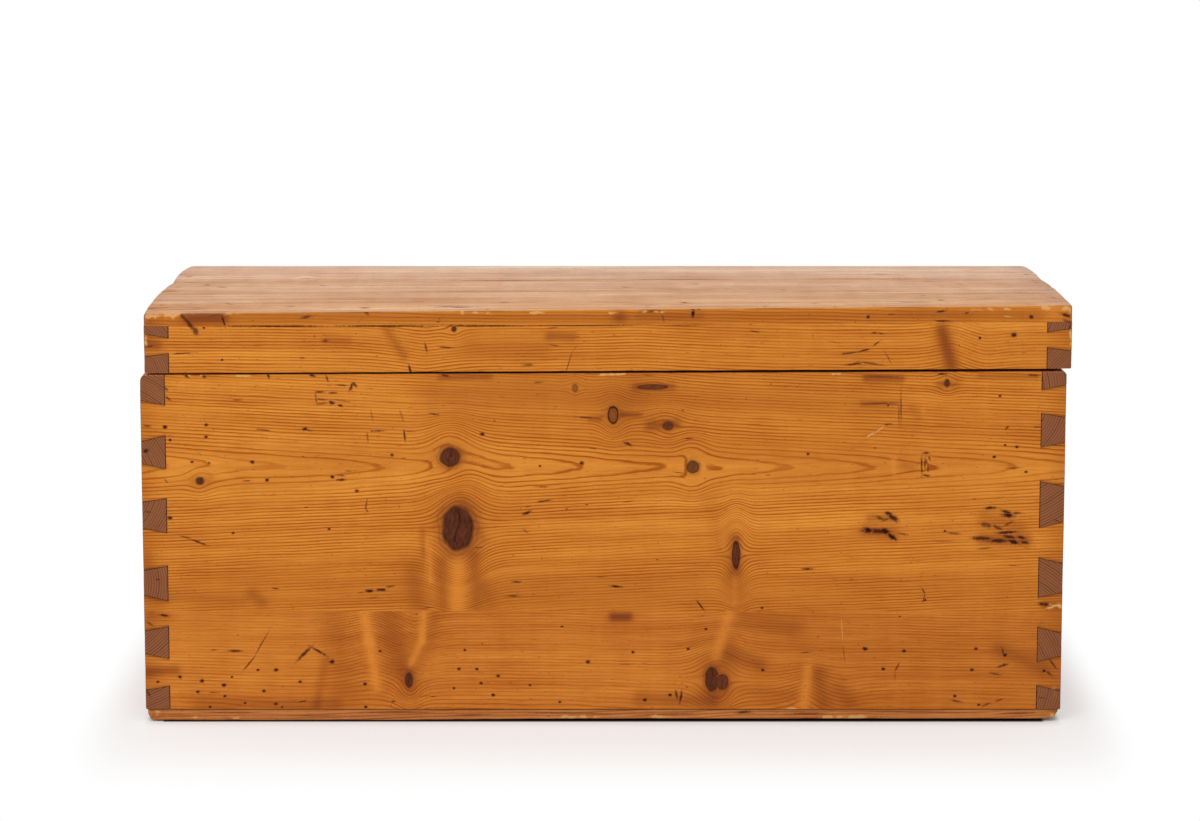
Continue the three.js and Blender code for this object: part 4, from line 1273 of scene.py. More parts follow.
def plank_sheet(along, back, layers, around, soiling_and_shade_levels):
    """A plank's points, its squares and its soiling with painted seam shade, which has one measure on
    the front and back of the planks together and another between them."""
    x, y, z = np.meshgrid(along, back, layers, indexing="ij")
    points = np.stack([x, y, z], axis=-1).transpose(2, 1, 0, 3).copy()
    cells = np.ones((len(back) - 1, len(along) - 1), bool)
    outside = np.minimum(points[..., Y] - around[0][Y], around[1][Y] - points[..., Y])
    return points, cells, seam_soiling_and_shade(points, cells) * np.where(outside < LEDGE, *soiling_and_shade_levels)


def top_plank(name, finish):
    """A plank of the lid's top. Its sheet is along X and back along Y, and its layers go from the
    crowned top down to the flat underside. The ends and the front arris are worn round."""
    low, high = span(name)
    middles = middles_of(LID_NAILS)
    mine = middles[(middles[:, Y] > low[Y]) & (middles[:, Y] < high[Y])]
    pixels = np.array(CHECK_PIXELS)
    checks = face_place("top", pixels[:, 0], pixels[:, 1])[1]
    along = grid_lines(low[X], high[X], STEP, around=levels(mine, X))
    back = grid_lines(low[Y], high[Y], STEP, around=np.concatenate([levels(mine, Y), checks]))
    depths = layer_lines(TOP_PLANK_THICKNESS)
    points, cells, grime = plank_sheet(along, back, depths, (LID_LOW, LID_HIGH), TOP_SOILING_AND_SHADE)
    ease_edges(points, cells, X, Y, faces=(0,))
    sides = planes(low, high) | {"face": (Z, 0, 1)}
    wears = TOP_WEAR | (TOP_FRONT_WEAR if name == LID_TOP[0] else TOP_BACK_WEAR)
    worn = wear_all(points, sides, wears, TOP_SEED + TIMBERS[name].seed)
    share = (points[..., Y] - low[Y]) / (high[Y] - low[Y])
    leftward = np.clip((LID_SHIFT - points[..., X]) / HALF_LENGTH, 0, 1)
    points[..., X] -= END_BULGE * np.sin(math.pi * share) * leftward**END_BULGE_POWER
    top = top_height(points[..., X], points[..., Y])
    down = points[..., Z] / TOP_PLANK_THICKNESS
    points[..., Z] = low[Z] + top * (1 - down)
    points[..., Z] += (LID_JOINT_LEAN * seen_lean(points) - GLUE_CLOSING) * down
    press_dimples(points, LID_NAILS, Z, -1, 0)
    press_marks(points, "top")
    make_board(name, "lid", points, cells, "top", X, worn, grime, finish)


def bottom_plank(name, finish):
    """A plank of the chest's bottom. Its sheet is along X and back along Y, its layers go from the
    inside down to the underside. The front plank's showing edge is worn and round at its ends."""
    low, high = span(name)
    middles = middles_of(BOTTOM_NAILS)
    along = grid_lines(low[X], high[X], WIDE_STEP, around=levels(middles, X))
    back = grid_lines(low[Y], high[Y], 2 * WIDE_STEP, around=levels(middles, Y))
    heights = high[Z] - layer_lines(high[Z] - low[Z])
    points, cells, grime = plank_sheet(along, back, heights, (BOTTOM_LOW, BOTTOM_HIGH), BOTTOM_SOILING_AND_SHADE)
    ease_edges(points, cells, X, Y)
    changes = {BOTTOM[0]: BOTTOM_FRONT_WEAR, BOTTOM[-1]: BOTTOM_BACK_WEAR}
    wears = BOTTOM_WEAR | changes.get(name, {})
    worn = wear_all(points, planes(low, high), wears, BOTTOM_SEED + TIMBERS[name].seed)
    if name == BOTTOM[0]:
        hollow_foot(points, low, high)
    press_dimples(points, BOTTOM_NAILS, Z, 1, -1)
    make_board(name, "chest", points, cells, "under", X, worn, grime, finish)


def hollow_foot(points, low, high):
    """Raises the underside along a plank's front edge, less at the left than at the right."""
    inside = 1 - smooth(points[..., Y] - low[Y], FOOT_HOLLOW / 2, FOOT_HOLLOW)
    lower = (high[Z] - points[..., Z]) / (high[Z] - low[Z])
    rightward = smooth(points[..., X], FOOT_RISE_START, 0)
    rise = FOOT_LIFT * (FOOT_LEFT_SHARE + (1 - FOOT_LEFT_SHARE) * rightward)
    points[..., Z] += rise * inside * lower


class Value:
    """A number or a vector that a material's nodes work out. A sum, difference, product or
    quotient of values lays the node for it."""

    def __init__(self, shop, socket):
        self.shop = shop
        self.socket = socket

    def __add__(self, other):
        return self.shop.math("ADD", self, other)

    def __radd__(self, other):
        return self.shop.math("ADD", other, self)

    def __sub__(self, other):
        return self.shop.math("SUBTRACT", self, other)

    def __rsub__(self, other):
        return self.shop.math("SUBTRACT", other, self)

    def __mul__(self, other):
        return self.shop.math("MULTIPLY", self, other)

    def __truediv__(self, other):
        return self.shop.math("DIVIDE", self, other)


class Workshop:
    """Short ways to lay the nodes of one material, or of the world."""

    def __init__(self, owner):
        owner.use_nodes = True
        self.tree = owner.node_tree
        self.shader = self.tree.nodes.get("Principled BSDF")

    def node(self, kind, **settings):
        made = self.tree.nodes.new("ShaderNode" + kind)
        for key, value in settings.items():
            setattr(made, key, value)
        return made

    def feed(self, socket, value):
        source = value.socket if isinstance(value, Value) else value
        if isinstance(source, bpy.types.NodeSocket):
            self.tree.links.new(source, socket)
        else:
            socket.default_value = source

    def made(self, kind, output, *values, **settings):
        """An output of a new node, whose first sockets take the values."""
        made = self.node(kind, **settings)
        for socket, value in zip(made.inputs, values):
            self.feed(socket, value)
        return Value(self, made.outputs[output])

    def math(self, operation, *values):
        return self.made("Math", 0, *values, operation=operation)

    def most(self, *values):
        return self.math("MAXIMUM", *values)

    def vector(self, *parts):
        return self.made("CombineXYZ", 0, *parts)

    def parts(self, vector):
        made = self.node("SeparateXYZ")
        self.feed(made.inputs[0], vector)
        return [Value(self, output) for output in made.outputs]

    def length(self, vector):
        return self.made("VectorMath", "Value", vector, operation="LENGTH")

    def attribute(self, name, output="Vector"):
        return self.made("Attribute", output, attribute_name=name)

    def place(self):
        return self.made("TexCoord", "Object")

    def noise(self, vector, scale=1.0, detail=2.0, roughness=0.5):
        return self.made("TexNoise", 0, vector, 0.0, scale, detail, roughness)

    def stretched(self, parts, rates, detail=2.0, roughness=0.5):
        """Noise that repeats at its own rate along each part of a place."""
        scaled = (part * rate for part, rate in zip(parts, rates))
        return self.noise(self.vector(*scaled), 1.0, detail, roughness)

    def random(self, value):
        made = self.node("TexWhiteNoise", noise_dimensions="1D")
        self.feed(made.inputs["W"], value)
        return Value(self, made.outputs["Value"])

    def ramp(self, value, low, high):
        """0 below low and 1 above high, or the other way round where low is the larger."""
        ends = (low, high, 0.0, 1.0) if low < high else (high, low, 1.0, 0.0)
        return self.made("MapRange", "Result", value, *ends, interpolation_type="SMOOTHSTEP")

    def blend(self, share, first, second, kind="MIX"):
        made = self.node("Mix", data_type="RGBA", blend_type=kind, clamp_factor=True)
        self.feed(made.inputs["Factor"], share)
        self.feed(made.inputs[6], first)
        self.feed(made.inputs[7], second)
        return Value(self, made.outputs[2])

    def coat(self, colour, roughness, shine, height, depth, strength):
        """Feeds the shader its colour, its roughness, its specular level and its relief."""
        bump = self.node("Bump")
        bump.inputs["Strength"].default_value = strength
        bump.inputs["Distance"].default_value = depth
        self.feed(bump.inputs["Height"], height)
        self.feed(self.shader.inputs["Normal"], bump.outputs[0])
        self.feed(self.shader.inputs["Base Color"], colour)
        self.feed(self.shader.inputs["Roughness"], roughness)
        self.shader.inputs["Specular IOR Level"].default_value = shine


# How one finish of the pine looks: names of its early and late wood in the colours, how strongly the
# rings show, how easily it chips, its roughness, its specular level and how strongly it is streaked,
# which on the lid's top also paints whitish streaks of reflected sheen along the grain
Finish = namedtuple("Finish", "early late rings wear roughness shine streaks")

# How fast each noise of the timber repeats along the board, over the rings and round the heart, and
# its detail
GRAIN_NOISES = {
    "wander": ((9.0, 0.3, 20.0), 2.0),
    "quiver": ((45.0, 0.9, 120.0), 2.0),
    "swing": ((7.0, 0.12, 12.0), 2.0),
    "streak": ((26.0, 2.2, 1000.0), 3.0),
    "fibre": ((110.0, 3.0, 1500.0), 2.0),
    "band": ((3.0, 0.22, 16.0), 2.0),
    "stripe": ((2.6, 0.1, 120.0), 3.0),
    "fleck": ((130.0, 2.4, 700.0), 1.0),
}
RIPPLE_RATES = (60.0, 12.0)
BLOTCH_RATES = (5.0, 16.0, 14.0)

# How much each noise adds to the streaks
STREAK_SHARES = {
    "streak": 0.42, "fibre": 0.16, "band": 0.3, "blotch": 0.26, "ripple": 0.12, "stripe": 0.32,
}

# The noise under worn varnish, and the relief of each material with its strength
WEAR_NOISE = (150.0, 3.0)
PINE_RELIEF = (0.35 * MM, 0.7)
END_RELIEF = (0.3 * MM, 0.6)
IRON_RELIEF = (0.2 * MM, 0.5)
IRON_METALLIC = 0.75
IRON_SHINE = 0.5


def pine(name, finish, colours):
    """Pine under old varnish. Late wood darkens the end of each ring, fibres streak it, knots,
    marks, patches, and soiling with painted shade in the joints come from the board's attributes,
    and chips show paler wood. On the lid's top the stronger streaks also paint whitish streaks of
    reflected sheen."""
    shop = Workshop(bpy.data.materials.new(name))
    grain = shop.parts(shop.attribute("grain"))
    tone = shop.parts(shop.attribute("tone"))
    place = shop.place()
    noises = {key: shop.stretched(grain, *settings) for key, settings in GRAIN_NOISES.items()}
    noises["ripple"] = shop.noise(shop.vector(grain[0] * RIPPLE_RATES[0], 0.5, grain[2] * RIPPLE_RATES[1]))
    noises["blotch"] = shop.stretched(shop.parts(place), BLOTCH_RATES, 4.0, 0.55)
    streak = noises["streak"]
    late = late_wood(shop, grain[1], noises)
    colour = shop.blend(late * finish.rings, colours[finish.early], colours[finish.late])
    uneven = -sum(STREAK_SHARES.values()) / 2
    for key, share in STREAK_SHARES.items():
        uneven = uneven + noises[key] * share
    # On the lid's top these stronger streaks also paint whitish streaks of reflected sheen; elsewhere they
    # are the wood's own streaks
    light = 1.0 + uneven * finish.streaks
    shading = shop.vector(light, shop.math("POWER", light, 1.6), shop.math("POWER", light, 2.0))
    colour = shop.blend(1.0, colour, shading, "MULTIPLY")
    cloudy = 0.55 + streak * 0.5 + late * 0.35
    colour = shop.blend(tone[0] * cloudy * 1.5, colour, colours[finish.late])
    colour = shop.blend(tone[0] * tone[0] * cloudy, colour, colours["stain"])
    colour = shop.blend(tone[1] * 0.72 * cloudy, colour, colours["figure"])
    colour, knot_relief = knots(shop, colour, colours)
    fleck = shop.ramp(noises["fleck"], 0.715, 0.77) * 0.65
    pit = shop.ramp(shop.noise(place, 260.0, 1.0), 0.765, 0.8) * 0.55
    colour = shop.blend(fleck + pit, colour, colours["stain"])
    colour, mark_relief = marks(shop, colour, place, colours)
    worn = shop.noise(place, *WEAR_NOISE) + tone[2] * finish.wear
    chips = shop.ramp(worn, 0.99, 1.05)
    colour = shop.blend(shop.ramp(worn, 0.8, 1.0) * 0.35, colour, colours["rubbed"])
    colour = shop.blend(chips * 0.72, colour, colours["chip"])
    # Dirt with painted shade in the joints: darkens the walls and edges of every joint
    grime = shop.attribute("grime", "Fac") * (0.35 + noises["blotch"])
    colour = shop.blend(grime, colour, colours["dirt"])
    rough = finish.roughness + streak * 0.12 + chips * 0.25 + fleck * 0.2
    rough = rough - mark_relief * 0.5 - uneven * (0.4 * finish.streaks)
    height = late * 0.22 + streak * 0.35 - fleck * 0.5 - chips * 0.7 + knot_relief + mark_relief
    shop.coat(colour, rough, finish.shine, height, *PINE_RELIEF)


def late_wood(shop, rings, noises):
    """How dark the late wood is: it rises over the last part of each ring, wider where the rings
    meet the face squarely, and drops at the ring's end. Each ring has its own strength."""
    count = rings + (noises["wander"] - 0.5) * 0.9 + (noises["quiver"] - 0.5) * 0.35
    whole = shop.math("FLOOR", count)
    part = count - whole
    width = 0.12 + shop.math("MINIMUM", shop.attribute("slope", "Fac"), 1.0) * 0.45
    into = (part - (0.87 - width)) / width
    depth = 0.28 + shop.random(whole) * 0.5 + shop.ramp(noises["swing"], 0.38, 0.68) * 0.62
    return shop.ramp(into, 0.0, 1.0) * shop.ramp(part, 1.0, 0.9) * depth


def knots(shop, colour, colours):
    """Adds a board's knots: a dark heart, cloudy and cracked, with a darker rim, a warm halo and a
    few thin rings about it."""
    spot = shop.parts(shop.attribute("knot"))
    dark, rim, pale = shop.parts(shop.attribute("knot_look"))
    wobble = shop.noise(shop.vector(*spot), 1.3, 2.0) - 0.5
    distance = shop.length(shop.vector(spot[0], spot[1], 0.0)) + wobble * 0.34
    inside = shop.ramp(distance, 1.06, 0.86)
    halo = shop.ramp(distance, 1.75, 0.95) * dark * 0.42
    circles = shop.math("SINE", distance * 17.0 + wobble * 5.0)
    circles = shop.ramp(circles, 0.3, 1.0) * shop.ramp(distance, 1.7, 1.1) * dark * 0.35
    cloud = shop.noise(shop.vector(spot[0] * 2.6, spot[1] * 1.4, spot[2]), 1.6, 4.0, 0.7)
    rim = shop.ramp(distance, 0.74, 0.9) * shop.ramp(distance, 1.14, 0.98) * rim
    heart = shop.ramp(distance, 0.6, 0.1) * pale
    lean = spot[0] * 0.95 - spot[1] * 0.14 + wobble * 0.9
    crack = shop.ramp(shop.math("ABSOLUTE", lean), 0.09, 0.02) * shop.ramp(distance, 0.9, 0.65) * dark
    colour = shop.blend(halo + circles, colour, colours["halo"])
    core = shop.blend(shop.ramp(cloud, 0.3, 0.72), colours["knot"], colours["knot_ring"])
    core = shop.blend(heart, core, colours["halo"])
    core = shop.blend(crack * 0.8, core, colours["pitch"])
    colour = shop.blend(inside * (0.22 + dark * 0.76), colour, core)
    colour = shop.blend(rim * 0.9, colour, colours["pitch"])
    return colour, crack * -1.2 - rim * 0.6 + inside * cloud * dark * 0.5


def marks(shop, colour, place, colours):
    """Adds a board's knocks and scratches: ragged ellipses, dark in their middle and brown about
    it, or pale where their tone is below 0."""
    spot = shop.parts(shop.attribute("mark"))
    ragged = shop.noise(place, 380.0, 3.0, 0.65) - 0.5
    here = shop.math("LESS_THAN", spot[2], 1.5)
    dark = shop.most(spot[2], 0.0) * here
    pale = shop.most(spot[2] * -1.0, 0.0) * here
    distance = shop.length(shop.vector(spot[0], spot[1], 0.0)) + ragged * 1.5
    core = shop.ramp(distance, 0.95, 0.45) * dark * (0.25 + dark * 0.72)
    colour = shop.blend(shop.ramp(distance, 1.55, 0.7) * dark * 0.7, colour, colours["stain"])
    colour = shop.blend(core, colour, colours["pitch"])
    colour = shop.blend(shop.ramp(distance, 1.0, 0.5) * pale, colour, colours["chip"])
    return colour, shop.ramp(distance, 1.0, 0.4) * here * -0.9


def end_grain(name, finish, colours):
    """End grain under old varnish: it drinks more of it and is darker. The rings show as fine
    lines, with pores and saw marks between them."""
    shop = Workshop(bpy.data.materials.new(name))
    rings = shop.parts(shop.attribute("grain"))[1]
    tone = shop.parts(shop.attribute("tone"))
    place = shop.place()
    count = rings + (shop.noise(place, 60.0, 2.0) - 0.5) * 0.5
    whole = shop.math("FLOOR", count)
    part = count - whole
    late = shop.ramp(part, 0.3, 0.8) * shop.ramp(part, 1.0, 0.9) * (0.55 + shop.random(whole) * 0.75)
    pores = shop.noise(place, 1400.0, 2.0)
    cloud = shop.noise(place, 90.0, 3.0)
    colour = shop.blend(late * finish.rings, colours[finish.early], colours[finish.late])
    light = 0.4 + pores * 0.4 + cloud * 0.8
    colour = shop.blend(1.0, colour, shop.vector(light, light, light), "MULTIPLY")
    colour = shop.blend(tone[0] * 0.3, colour, colours["stain"])
    colour, mark_relief = marks(shop, colour, place, colours)
    worn = shop.noise(place, *WEAR_NOISE) + tone[2] * finish.wear
    colour = shop.blend(shop.ramp(worn, 0.85, 1.05) * 0.25, colour, colours["rubbed"])
    # Dirt with painted shade in the joints: darkens the walls and edges of every joint
    grime = shop.attribute("grime", "Fac") * (0.1 + cloud * 0.6)
    colour = shop.blend(grime, colour, colours["dirt"])
    height = late * 0.5 + pores * 0.6 + mark_relief
    shop.coat(colour, finish.roughness + pores * 0.15, finish.shine, height, *END_RELIEF)


def iron(name, dark, rust, roughness):
    """Old iron: brown-black, with rust where the noise is high."""
    material = bpy.data.materials.new(name)
    shop = Workshop(material)
    place = shop.place()
    patch = shop.noise(place, 180.0, 4.0, 0.6)
    share = shop.ramp(patch, 0.45, 0.68)
    height = patch * 0.6 + shop.noise(place, 1100.0, 2.0) * 0.4
    colour = shop.blend(share, dark, rust)
    shop.coat(colour, roughness + share * 0.3, IRON_SHINE, height, *IRON_RELIEF)
    shop.shader.inputs["Metallic"].default_value = IRON_METALLIC
    return material


FINISHES = {
    "front_pine_varnished": Finish("honey", "honey_late", 1.0, 0.62, 0.36, 0.06, 1.0),
    "front_lower_pine_varnished": Finish("amber", "amber_late", 0.72, 0.62, 0.36, 0.06, 1.4),
    "lid_pine_varnished": Finish("honey", "honey_late", 1.0, 0.62, 0.36, 0.06, 1.0),
    "end_pine_varnished": Finish("amber", "amber_late", 0.85, 0.62, 0.38, 0.1, 1.1),
    "back_pine_varnished": Finish("amber", "amber_late", 0.85, 0.62, 0.42, 0.1, 1.1),
    # On the lid's top the strong streaks also paint whitish streaks of reflected sheen along the grain
    "top_pine_varnished": Finish("top", "top_late", 0.9, 0.62, 0.24, 0.05, 1.8),
    "top_back_pine_varnished": Finish("top", "top_late", 0.9, 0.62, 0.24, 0.15, 1.8),
    "bare_pine": Finish("bare", "bare_late", 0.7, 0.3, 0.7, 0.2, 0.8),
    "under_pine": Finish("under", "under_late", 0.7, 0.4, 0.75, 0.2, 0.9),
    "foot_pine_worn": Finish("foot", "foot_late", 0.8, 0.62, 0.5, 0.08, 1.5),
}
END_FINISHES = {
    "end_grain_varnished": Finish("end", "end_late", 0.72, 0.5, 0.5, 0.06, 1.0),
    "end_grain_bare": Finish("bare", "bare_late", 0.6, 0.3, 0.75, 0.2, 1.0),
    "end_grain_dark": Finish("foot", "foot_late", 0.6, 0.5, 0.7, 0.1, 1.0),
}


def tint(name, description, default):
    """A colour among the settings."""
    return bpy.props.FloatVectorProperty(
        name=name, description=description, default=default, size=3, min=0, max=1, subtype="COLOR"
    )


class ChestColours(bpy.types.PropertyGroup):
    """Colours of the chest's wood and iron."""

    honey: tint("Honey", "Early wood of the varnished front", (0.625, 0.22, 0.0275))
    honey_late: tint("Honey late wood", "Late wood of the varnished front", (0.36, 0.086, 0.006))
    amber: tint("Amber", "Early wood of the darker boards", (0.555, 0.178, 0.0235))
    amber_late: tint("Amber late wood", "Late wood of the darker boards", (0.31, 0.070, 0.006))
    top: tint("Top", "Early wood of the lid's top", (0.625, 0.259, 0.052))
    top_late: tint("Top late wood", "Late wood of the lid's top", (0.365, 0.118, 0.025))
    bare: tint("Bare pine", "Unvarnished early wood inside", (0.56, 0.33, 0.15))
    bare_late: tint("Bare late wood", "Unvarnished late wood inside", (0.38, 0.18, 0.065))
    under: tint("Underside", "Dusty wood under the chest", (0.31, 0.20, 0.12))
    under_late: tint("Underside late wood", "Dusty late wood", (0.20, 0.12, 0.065))
    foot: tint("Foot", "Worn front edge of the bottom", (0.57, 0.203, 0.053))
    foot_late: tint("Foot late wood", "Late wood of the bottom's edge", (0.30, 0.086, 0.020))
    end: tint("End grain", "End grain of the pins", (0.425, 0.156, 0.064))
    end_late: tint("End grain lines", "Rings on the end grain", (0.15, 0.044, 0.017))
    stain: tint("Stain", "Dark patches and surrounds", (0.165, 0.040, 0.014))
    figure: tint("Figure", "Pale shimmering grain beside knots", (0.74, 0.26, 0.035))
    halo: tint("Halo", "Wood around a knot", (0.235, 0.060, 0.012))
    knot: tint("Knot", "Dark of a knot", (0.048, 0.0125, 0.0055))
    knot_ring: tint("Knot cloud", "Paler parts of a knot", (0.118, 0.031, 0.014))
    pitch: tint("Pitch", "Holes, cracks and pitch", (0.026, 0.0055, 0.002))
    chip: tint("Chip", "Fresh wood in a chip", (0.68, 0.38, 0.14))
    rubbed: tint("Rubbed", "Thin varnish on a worn edge", (0.66, 0.25, 0.045))
    # Dirt with painted shade: darkens the walls and edges of the joints
    dirt: tint("Dirt", "Dirt in the joints", (0.05, 0.014, 0.005))
    iron: tint("Iron", "Hinges and nails", (0.10, 0.085, 0.075))
    rust: tint("Rust", "Rust on the iron", (0.17, 0.065, 0.03))
    steel: tint("Screws", "Heads of the screws", (0.21, 0.19, 0.17))
    floor: tint("Floor", "Floor and backdrop", (0.90, 0.90, 0.90))


def number(name, description, default, low=0, **limits):
    """A number among the settings."""
    return bpy.props.FloatProperty(name=name, description=description, default=default, min=low, **limits)


class StudioSettings(bpy.types.PropertyGroup):
    """Light of the studio."""

    fill: number("Fill", "Strength of the light from all round", 0.64, max=2)
    key: number("Key lamp", "Power of the large lamp above the front", 62.0, unit="POWER")
    side: number("Side lamp", "Power of the lamp at the left", 12.0, unit="POWER")
    floor_glow: number(
        "Floor glow", "Share of plain white that the camera sees in the floor", 0.42, max=1,
        subtype="FACTOR"
    )
    floor_size: number(
        "Floor size", "Length of the floor's sides", 24.0, low=1, unit="LENGTH", subtype="DISTANCE"
    )


def chest_colours(context):
    """The colours of the settings, each with its alpha."""
    settings = context.scene.chest_colours
    return {key: (*getattr(settings, key), 1.0) for key in ChestColours.__annotations__}


class CHEST_OT_timber_finishes(bpy.types.Operator):
    """Makes the finishes of the pine: varnished, bare, dusty and end grain"""

    bl_idname = "chest.timber_finishes"
    bl_label = "Timber finishes"

    def execute(self, context):
        colours = chest_colours(context)
        for name, finish in FINISHES.items():
            pine(name, finish, colours)
        for name, finish in END_FINISHES.items():
            end_grain(name, finish, colours)
        return {"FINISHED"}


def varnished(face):
    """Materials of a wall's board, whose face and edges are alike."""
    return (face, "end_grain_varnished", "bare_pine", face)


class CHEST_OT_front_wall(bpy.types.Operator):
    """Makes the two tailed boards of the front wall"""

    bl_idname = "chest.front_wall"
    bl_label = "Front wall"

    def execute(self, context):
        faces = ("front_pine_varnished", "front_lower_pine_varnished")
        for name, face in zip(FRONT_WALL, faces):
            tail_board(name, "chest", (LEFT_END, RIGHT_END), False, varnished(face))
        return {"FINISHED"}


class CHEST_OT_back_wall(bpy.types.Operator):
    """Makes the two tailed boards of the back wall, with the hinges' recesses in its rim"""

    bl_idname = "chest.back_wall"
    bl_label = "Back wall"

    def execute(self, context):
        finish = varnished("back_pine_varnished")
        for name, leaves in zip(BACK_WALL, (LEAVES, ())):
            tail_board(name, "chest", (LEFT_END, RIGHT_END), True, finish, leaves)
        return {"FINISHED"}


class CHEST_OT_end_walls(bpy.types.Operator):
    """Makes the four pinned boards of the two end walls"""

    bl_idname = "chest.end_walls"
    bl_label = "End walls"

    def execute(self, context):
        finish = varnished("end_pine_varnished")
        for name in LEFT_END + RIGHT_END:
            pin_board(name, "chest", name in LEFT_END, finish)
        return {"FINISHED"}


class CHEST_OT_bottom(bpy.types.Operator):
    """Makes the three planks of the bottom"""

    bl_idname = "chest.bottom"
    bl_label = "Bottom"

    def execute(self, context):
        for name in BOTTOM:
            bottom_plank(name, ("bare_pine", "end_grain_dark", "under_pine", "foot_pine_worn"))
        return {"FINISHED"}


class CHEST_OT_lid_frame(bpy.types.Operator):
    """Makes the four boards of the lid's shallow frame"""

    bl_idname = "chest.lid_frame"
    bl_label = "Lid frame"

    def execute(self, context):
        ends = (("lid_left_end",), ("lid_right_end",))
        finish = varnished("lid_pine_varnished")
        tail_board("lid_front_board", "lid", ends, False, finish)
        moving = ("hinge_left_moving_leaf", "hinge_right_moving_leaf")
        tail_board("lid_back_board", "lid", ends, True, finish, moving)
        for (name,) in ends:
            pin_board(name, "lid", name == "lid_left_end", finish)
        return {"FINISHED"}


class CHEST_OT_lid_top(bpy.types.Operator):
    """Makes the two crowned planks of the lid's top"""

    bl_idname = "chest.lid_top"
    bl_label = "Lid top"

    def execute(self, context):
        for name, face in zip(LID_TOP, ("top_pine_varnished", "top_back_pine_varnished")):
            top_plank(name, (face, "end_grain_varnished", "bare_pine", "lid_pine_varnished"))
        return {"FINISHED"}


class CHEST_OT_ironwork(bpy.types.Operator):
    """Gives the hinges, their screws and the nails their iron and steel"""

    bl_idname = "chest.ironwork"
    bl_label = "Ironwork"

    def execute(self, context):
        colours = chest_colours(context)
        hinge = iron("hinge_iron_old", colours["iron"], colours["rust"], 0.45)
        screw = iron("screw_steel_old", colours["steel"], colours["rust"], 0.35)
        nail = iron("nail_iron_old", colours["iron"], colours["rust"], 0.55)
        for name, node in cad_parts.items():
            metal = nail if "nail" in name else screw if "screw" in name else hinge
            if "nail" in name or name.startswith("hinge"):
                for slot in node.material_slots:
                    slot.material = metal
        return {"FINISHED"}


class CHEST_OT_studio(bpy.types.Operator):
    """Makes the floor, the light and the photograph's camera"""

    bl_idname = "chest.studio"
    bl_label = "Studio"

    def execute(self, context):
        studio = context.scene.chest_studio
        colours = chest_colours(context)
        make_floor(studio, colours["floor"])
        make_light(studio)
        make_camera(context.scene)
        context.scene.view_settings.view_transform = "Standard"
        return {"FINISHED"}


def make_floor(studio, colour):
    """A level sheet under the chest. The camera sees part of it as plain white, and the rest takes
    the light and keeps the chest's shadow. A painted shadow darkens its colour in the narrow gap
    under the foot."""
    half = studio.floor_size / 2
    mesh = bpy.data.meshes.new("floor")
    corners = np.array(((-half, -half, 0), (half, -half, 0), (half, half, 0), (-half, half, 0)))
    mesh.from_pydata(corners, [], [(0, 1, 2, 3)])
    material = bpy.data.materials.new("floor")
    shop = Workshop(material)
    place = shop.place()
    tone_and_painted_shadow = 0.985 + shop.noise(place, 1.5, 2.0) * 0.02
    spread = [shop.math("ABSOLUTE", part) for part in shop.parts(place)]
    beside, ahead = (shop.most(part - reach, 0.0) for part, reach in zip(spread, FLOOR_SHADE))
    away = shop.length(shop.vector(beside * FLOOR_SQUEEZE, ahead, 0.0))
    # Painted shadow: the floor's colour darkens in the narrow gap under the foot
    within = [part - reach for part, reach in zip(spread, PAINTED_GAP_SHADOW)]
    outside = shop.ramp(shop.most(*within), 0.0, PAINTED_GAP_SHADOW_SOFTNESS)
    tone_and_painted_shadow = tone_and_painted_shadow * (PAINTED_GAP_SHADOW_LIGHT_SHARE + outside * (1 - PAINTED_GAP_SHADOW_LIGHT_SHARE))
    grey = shop.vector(tone_and_painted_shadow, tone_and_painted_shadow, tone_and_painted_shadow)
    shop.feed(shop.shader.inputs["Base Color"], shop.blend(1.0, colour, grey, "MULTIPLY"))
    shop.shader.inputs["Roughness"].default_value = FLOOR_ROUGHNESS
    shop.shader.inputs["Specular IOR Level"].default_value = FLOOR_SHINE
    seen = shop.made("LightPath", "Is Camera Ray")
    close = shop.ramp(away, *CLOSE_GLOW) * studio.floor_glow
    share = close + shop.ramp(away, *FAR_GLOW) * (1 - studio.floor_glow)
    white = shop.made("Emission", 0)
    mixed = shop.made("MixShader", 0, seen * share, shop.shader.outputs[0], white)
    shop.feed(shop.tree.nodes["Material Output"].inputs["Surface"], mixed)
    mesh.materials.append(material)
    floor = bpy.data.objects.new("floor", mesh)
    bpy.context.scene.collection.objects.link(floor)


def make_light(studio):
    """White all round for the camera and in reflections, a softer fill for everything else, and two
    large lamps."""
    world = bpy.data.worlds.new("studio")
    bpy.context.scene.world = world
    shop = Workshop(world)
    fill = shop.tree.nodes["Background"]
    fill.inputs["Color"].default_value = WHITE
    fill.inputs["Strength"].default_value = studio.fill
    path = shop.node("LightPath")
    kinds = ("Camera", "Glossy", "Transmission")
    camera, gloss, through = (path.outputs[f"Is {kind} Ray"] for kind in kinds)
    seen = shop.most(shop.most(camera, gloss), through)
    mixed = shop.made("MixShader", 0, seen, fill.outputs[0], shop.made("Background", 0, WHITE))
    shop.feed(shop.tree.nodes["World Output"].inputs["Surface"], mixed)
    add_lamp("key_lamp", *KEY_LAMP, studio.key)
    add_lamp("side_lamp", *SIDE_LAMP, studio.side)


def add_lamp(name, place, target, size, power):
    """A square lamp that looks at its target."""
    lamp = bpy.data.lights.new(name, "AREA")
    lamp.shape = "SQUARE"
    lamp.size = size
    lamp.energy = power
    holder = bpy.data.objects.new(name, lamp)
    away = np.array(place) - np.array(target)
    flat = math.hypot(away[X], away[Y])
    holder.rotation_euler = (math.atan2(flat, away[Z]), 0, math.atan2(away[X], -away[Y]))
    holder.location = place
    bpy.context.scene.collection.objects.link(holder)


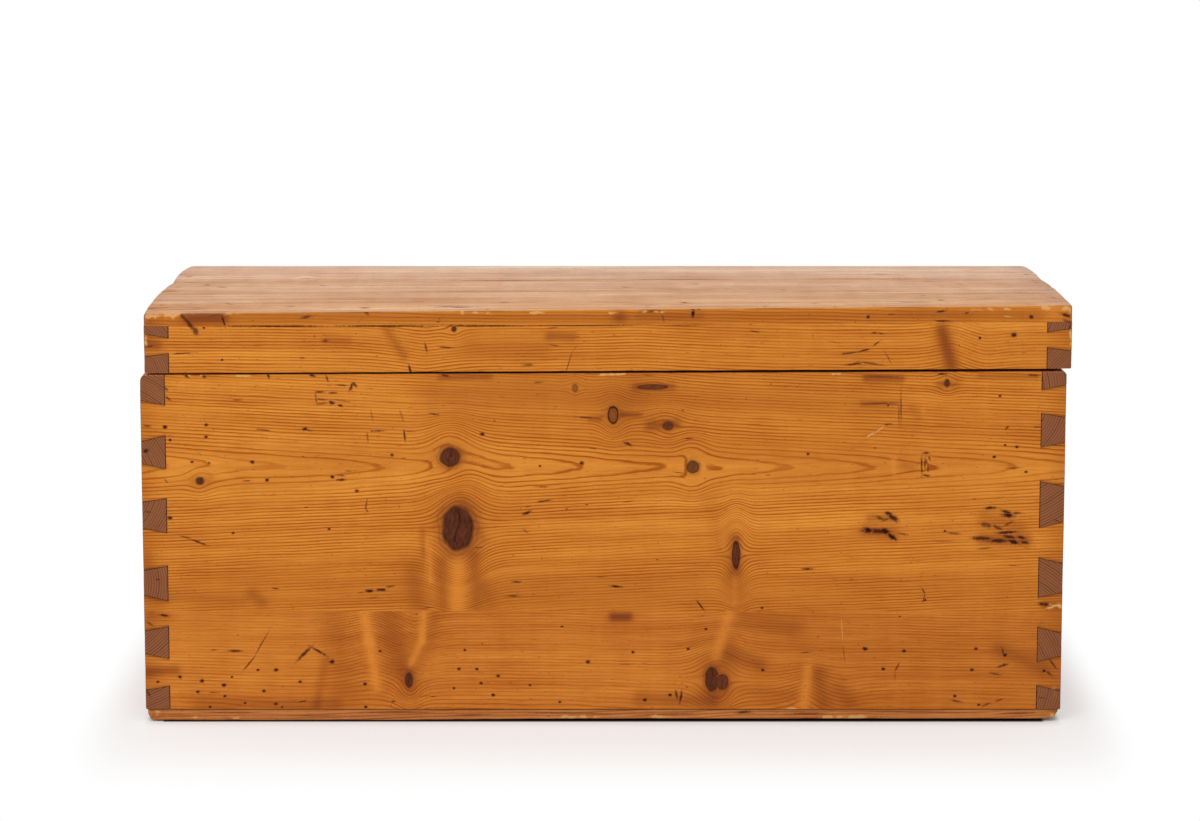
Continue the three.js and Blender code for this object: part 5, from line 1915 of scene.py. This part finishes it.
def make_camera(scene):
    """The photograph's camera: level across, tilted down, and with its measured focal length."""
    lens = bpy.data.cameras.new("camera")
    lens.sensor_width = SENSOR_WIDTH
    lens.sensor_fit = "HORIZONTAL"
    lens.lens = FOCAL_PIXELS / PHOTO_WIDTH * SENSOR_WIDTH
    camera = bpy.data.objects.new("camera", lens)
    camera.location = CAMERA_PLACE
    camera.rotation_euler = (math.pi / 2 - CAMERA_PITCH, 0, 0)
    scene.collection.objects.link(camera)
    scene.camera = camera


class CHEST_PT_panel(bpy.types.Panel):
    """Lists the chest's makers"""

    bl_idname = "CHEST_PT_panel"
    bl_label = "Blanket chest"
    bl_space_type = "VIEW_3D"
    bl_region_type = "UI"
    bl_category = "Blanket chest"

    def draw(self, context):
        for operator in OPERATORS:
            self.layout.operator(operator.bl_idname)
        for key in ChestColours.__annotations__:
            self.layout.prop(context.scene.chest_colours, key)
        for key in StudioSettings.__annotations__:
            self.layout.prop(context.scene.chest_studio, key)


OPERATORS = (
    CHEST_OT_studio,
    CHEST_OT_timber_finishes,
    CHEST_OT_front_wall,
    CHEST_OT_back_wall,
    CHEST_OT_end_walls,
    CHEST_OT_bottom,
    CHEST_OT_lid_frame,
    CHEST_OT_lid_top,
    CHEST_OT_ironwork,
)
CLASSES = (ChestColours, StudioSettings) + OPERATORS + (CHEST_PT_panel,)


def register():
    for chosen in CLASSES:
        bpy.utils.register_class(chosen)
    bpy.types.Scene.chest_colours = bpy.props.PointerProperty(type=ChestColours)
    bpy.types.Scene.chest_studio = bpy.props.PointerProperty(type=StudioSettings)


def unregister():
    del bpy.types.Scene.chest_studio
    del bpy.types.Scene.chest_colours
    for chosen in reversed(CLASSES):
        bpy.utils.unregister_class(chosen)


def main():
    """Makes every piece in order."""
    register()
    bpy.ops.chest.studio()
    bpy.ops.chest.timber_finishes()
    bpy.ops.chest.front_wall()
    bpy.ops.chest.back_wall()
    bpy.ops.chest.end_walls()
    bpy.ops.chest.bottom()
    bpy.ops.chest.lid_frame()
    bpy.ops.chest.lid_top()
    bpy.ops.chest.ironwork()


if __name__ == "__main__":
    main()
